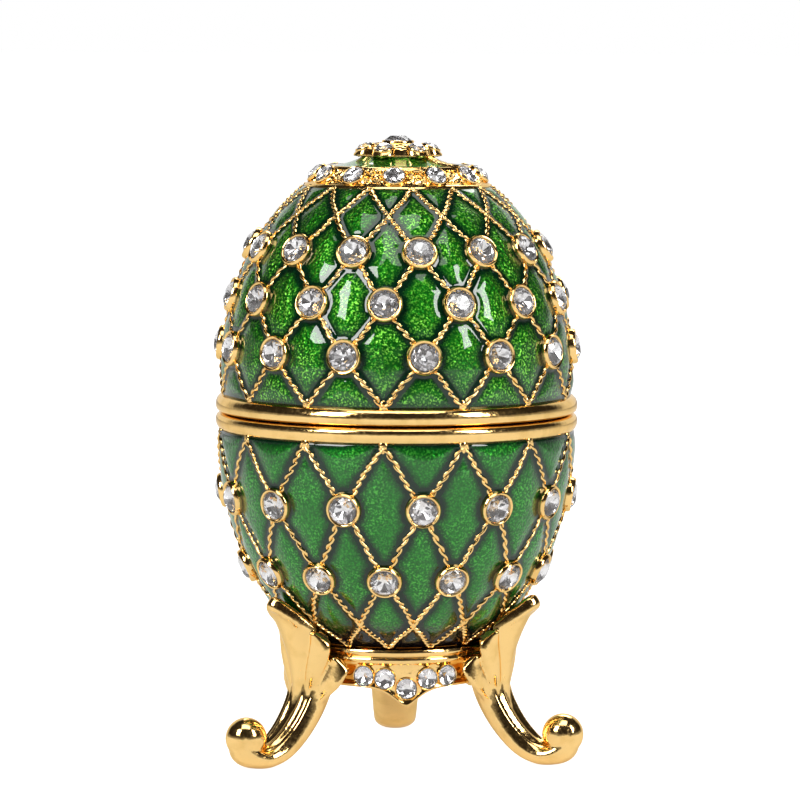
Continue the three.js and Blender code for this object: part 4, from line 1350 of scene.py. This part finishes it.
# The camera, with lengths in millimetres and the focal length in pixels of the 800 pixel picture
SENSOR = 36
PICTURE_PIXELS = 800
FOCAL_PIXELS = 4665.6
CAMERA_DISTANCE = 540
CAMERA_HEIGHT = 88.8
AIM_ASIDE = 0.39
AIM_HEIGHT = 41.4
CAMERA_ROLL = math.radians(0.3)


class EGG_OT_stage(bpy.types.Operator):
    """Sets the pale floor, the soft studio light and the camera"""
    bl_idname = "egg.stage"
    bl_label = "Stage"

    def execute(self, context):
        context.scene.view_settings.view_transform = "Standard"
        self.floor(context)
        self.world(context)
        self.lights(context)
        self.camera(context)
        return {"FINISHED"}

    def floor(self, context):
        """A pale floor that looks white to the camera and glows softly on the metal"""
        bm = bmesh.new()
        bmesh.ops.create_grid(bm, x_segments=1, y_segments=1, size=FLOOR_HALF)
        mesh = bpy.data.meshes.new("floor")
        bm.to_mesh(mesh)
        bm.free()
        finish = Finish(bpy.data.materials.new("pale_floor"))
        tone = tuple(context.scene.egg_finishes.floor)
        seen = finish.node("ShaderNodeLightPath")
        glow = finish.mix(seen, FLOOR_GLOW, WHITE)
        mesh.materials.append(finish.surface(
            Base_Color=(*tone, 1), Roughness=0.6, Specular_IOR_Level=0.0,
            Emission_Color=glow, Emission_Strength=FLOOR_POWER))
        obj = bpy.data.objects.new("floor", mesh)
        context.collection.objects.link(obj)

    def world(self, context):
        """A dark studio with a haze at its floor, a pale backdrop and white for the camera"""
        finish = Finish(context.scene.world or bpy.data.worlds.new("studio"))
        context.scene.world = finish.owner
        direction = finish.node("ShaderNodeTexCoord")
        up = finish.node("ShaderNodeSeparateXYZ", None, {0: direction}, output=2)
        behind = finish.node("ShaderNodeSeparateXYZ", None, {0: direction}, output=1)
        backdrop = finish.between(behind, 0.55, 0.8) * finish.between(up, 0.5, 0.8, 1.0, 0.0)
        haze = finish.between(up, 0.0, 0.22, 1.0, 0.0)
        studio = finish.mix(haze, DARK_STUDIO, HAZE)
        around = finish.mix(backdrop, studio, BACKDROP)
        seen = finish.node("ShaderNodeLightPath")
        tone = finish.mix(seen, around, WHITE)
        light = finish.node("ShaderNodeBackground", None, {"Color": tone, "Strength": 1.0})
        finish.node("ShaderNodeOutputWorld", None, {"Surface": light})

    def lights(self, context):
        for name, place, size, power in SOFTBOXES:
            lamp = bpy.data.lights.new(name, "AREA")
            lamp.shape = "RECTANGLE"
            lamp.size, lamp.size_y = size
            lamp.energy = power
            obj = bpy.data.objects.new(name, lamp)
            obj.location = place
            aim = SOFTBOX_AIM - obj.location
            obj.rotation_euler = aim.to_track_quat("-Z", "Y").to_euler()
            obj.visible_camera = False
            context.collection.objects.link(obj)

    def camera(self, context):
        lens = bpy.data.cameras.new("camera")
        lens.sensor_width = SENSOR
        lens.lens = FOCAL_PIXELS * SENSOR / PICTURE_PIXELS
        lens.clip_end = 10
        obj = bpy.data.objects.new("camera", lens)
        place = Vector((AXIS.x, AXIS.y - CAMERA_DISTANCE, CAMERA_HEIGHT)) * MM
        aim = Vector((AXIS.x + AIM_ASIDE, AXIS.y, AIM_HEIGHT)) * MM
        look = (aim - place).to_track_quat("-Z", "Y").to_matrix().to_4x4()
        roll = Matrix.Rotation(CAMERA_ROLL, 4, "Z")
        obj.matrix_world = Matrix.Translation(place) @ look @ roll
        context.collection.objects.link(obj)
        context.scene.camera = obj


class EGG_PT_box(bpy.types.Panel):
    """Lists the makers of the egg's pieces"""
    bl_idname = "EGG_PT_box"
    bl_label = "Jewelled Egg Box"
    bl_space_type = "VIEW_3D"
    bl_region_type = "UI"
    bl_category = "Egg Box"

    def draw(self, context):
        for operator in OPERATORS:
            self.layout.operator(operator.bl_idname)
        for name in GROUPS:
            group = getattr(context.scene, name)
            self.layout.label(text=group.bl_rna.name)
            for field in type(group).__annotations__:
                self.layout.prop(group, field)


OPERATORS = (
    EGG_OT_stage, EGG_OT_lid_casting, EGG_OT_lid_wires, EGG_OT_lid_enamel, EGG_OT_bowl_casting,
    EGG_OT_bowl_wires, EGG_OT_bowl_enamel, EGG_OT_stones, EGG_OT_stand)
GROUPS = {
    "egg_shape": EggShape, "egg_lattice": LatticeShape, "egg_jewels": JewelShape,
    "egg_crown": CrownShape, "egg_stand": StandShape, "egg_finishes": Finishes}


def register():
    for group in GROUPS.values():
        bpy.utils.register_class(group)
    for operator in (*OPERATORS, EGG_PT_box):
        bpy.utils.register_class(operator)
    for name, group in GROUPS.items():
        setattr(bpy.types.Scene, name, bpy.props.PointerProperty(type=group))


def unregister():
    for name in GROUPS:
        delattr(bpy.types.Scene, name)
    for known in (*OPERATORS, EGG_PT_box, *GROUPS.values()):
        bpy.utils.unregister_class(known)


def main():
    register()
    for operator in OPERATORS:
        family, name = operator.bl_idname.split(".")
        getattr(getattr(bpy.ops, family), name)()


if __name__ == "__main__":
    main()
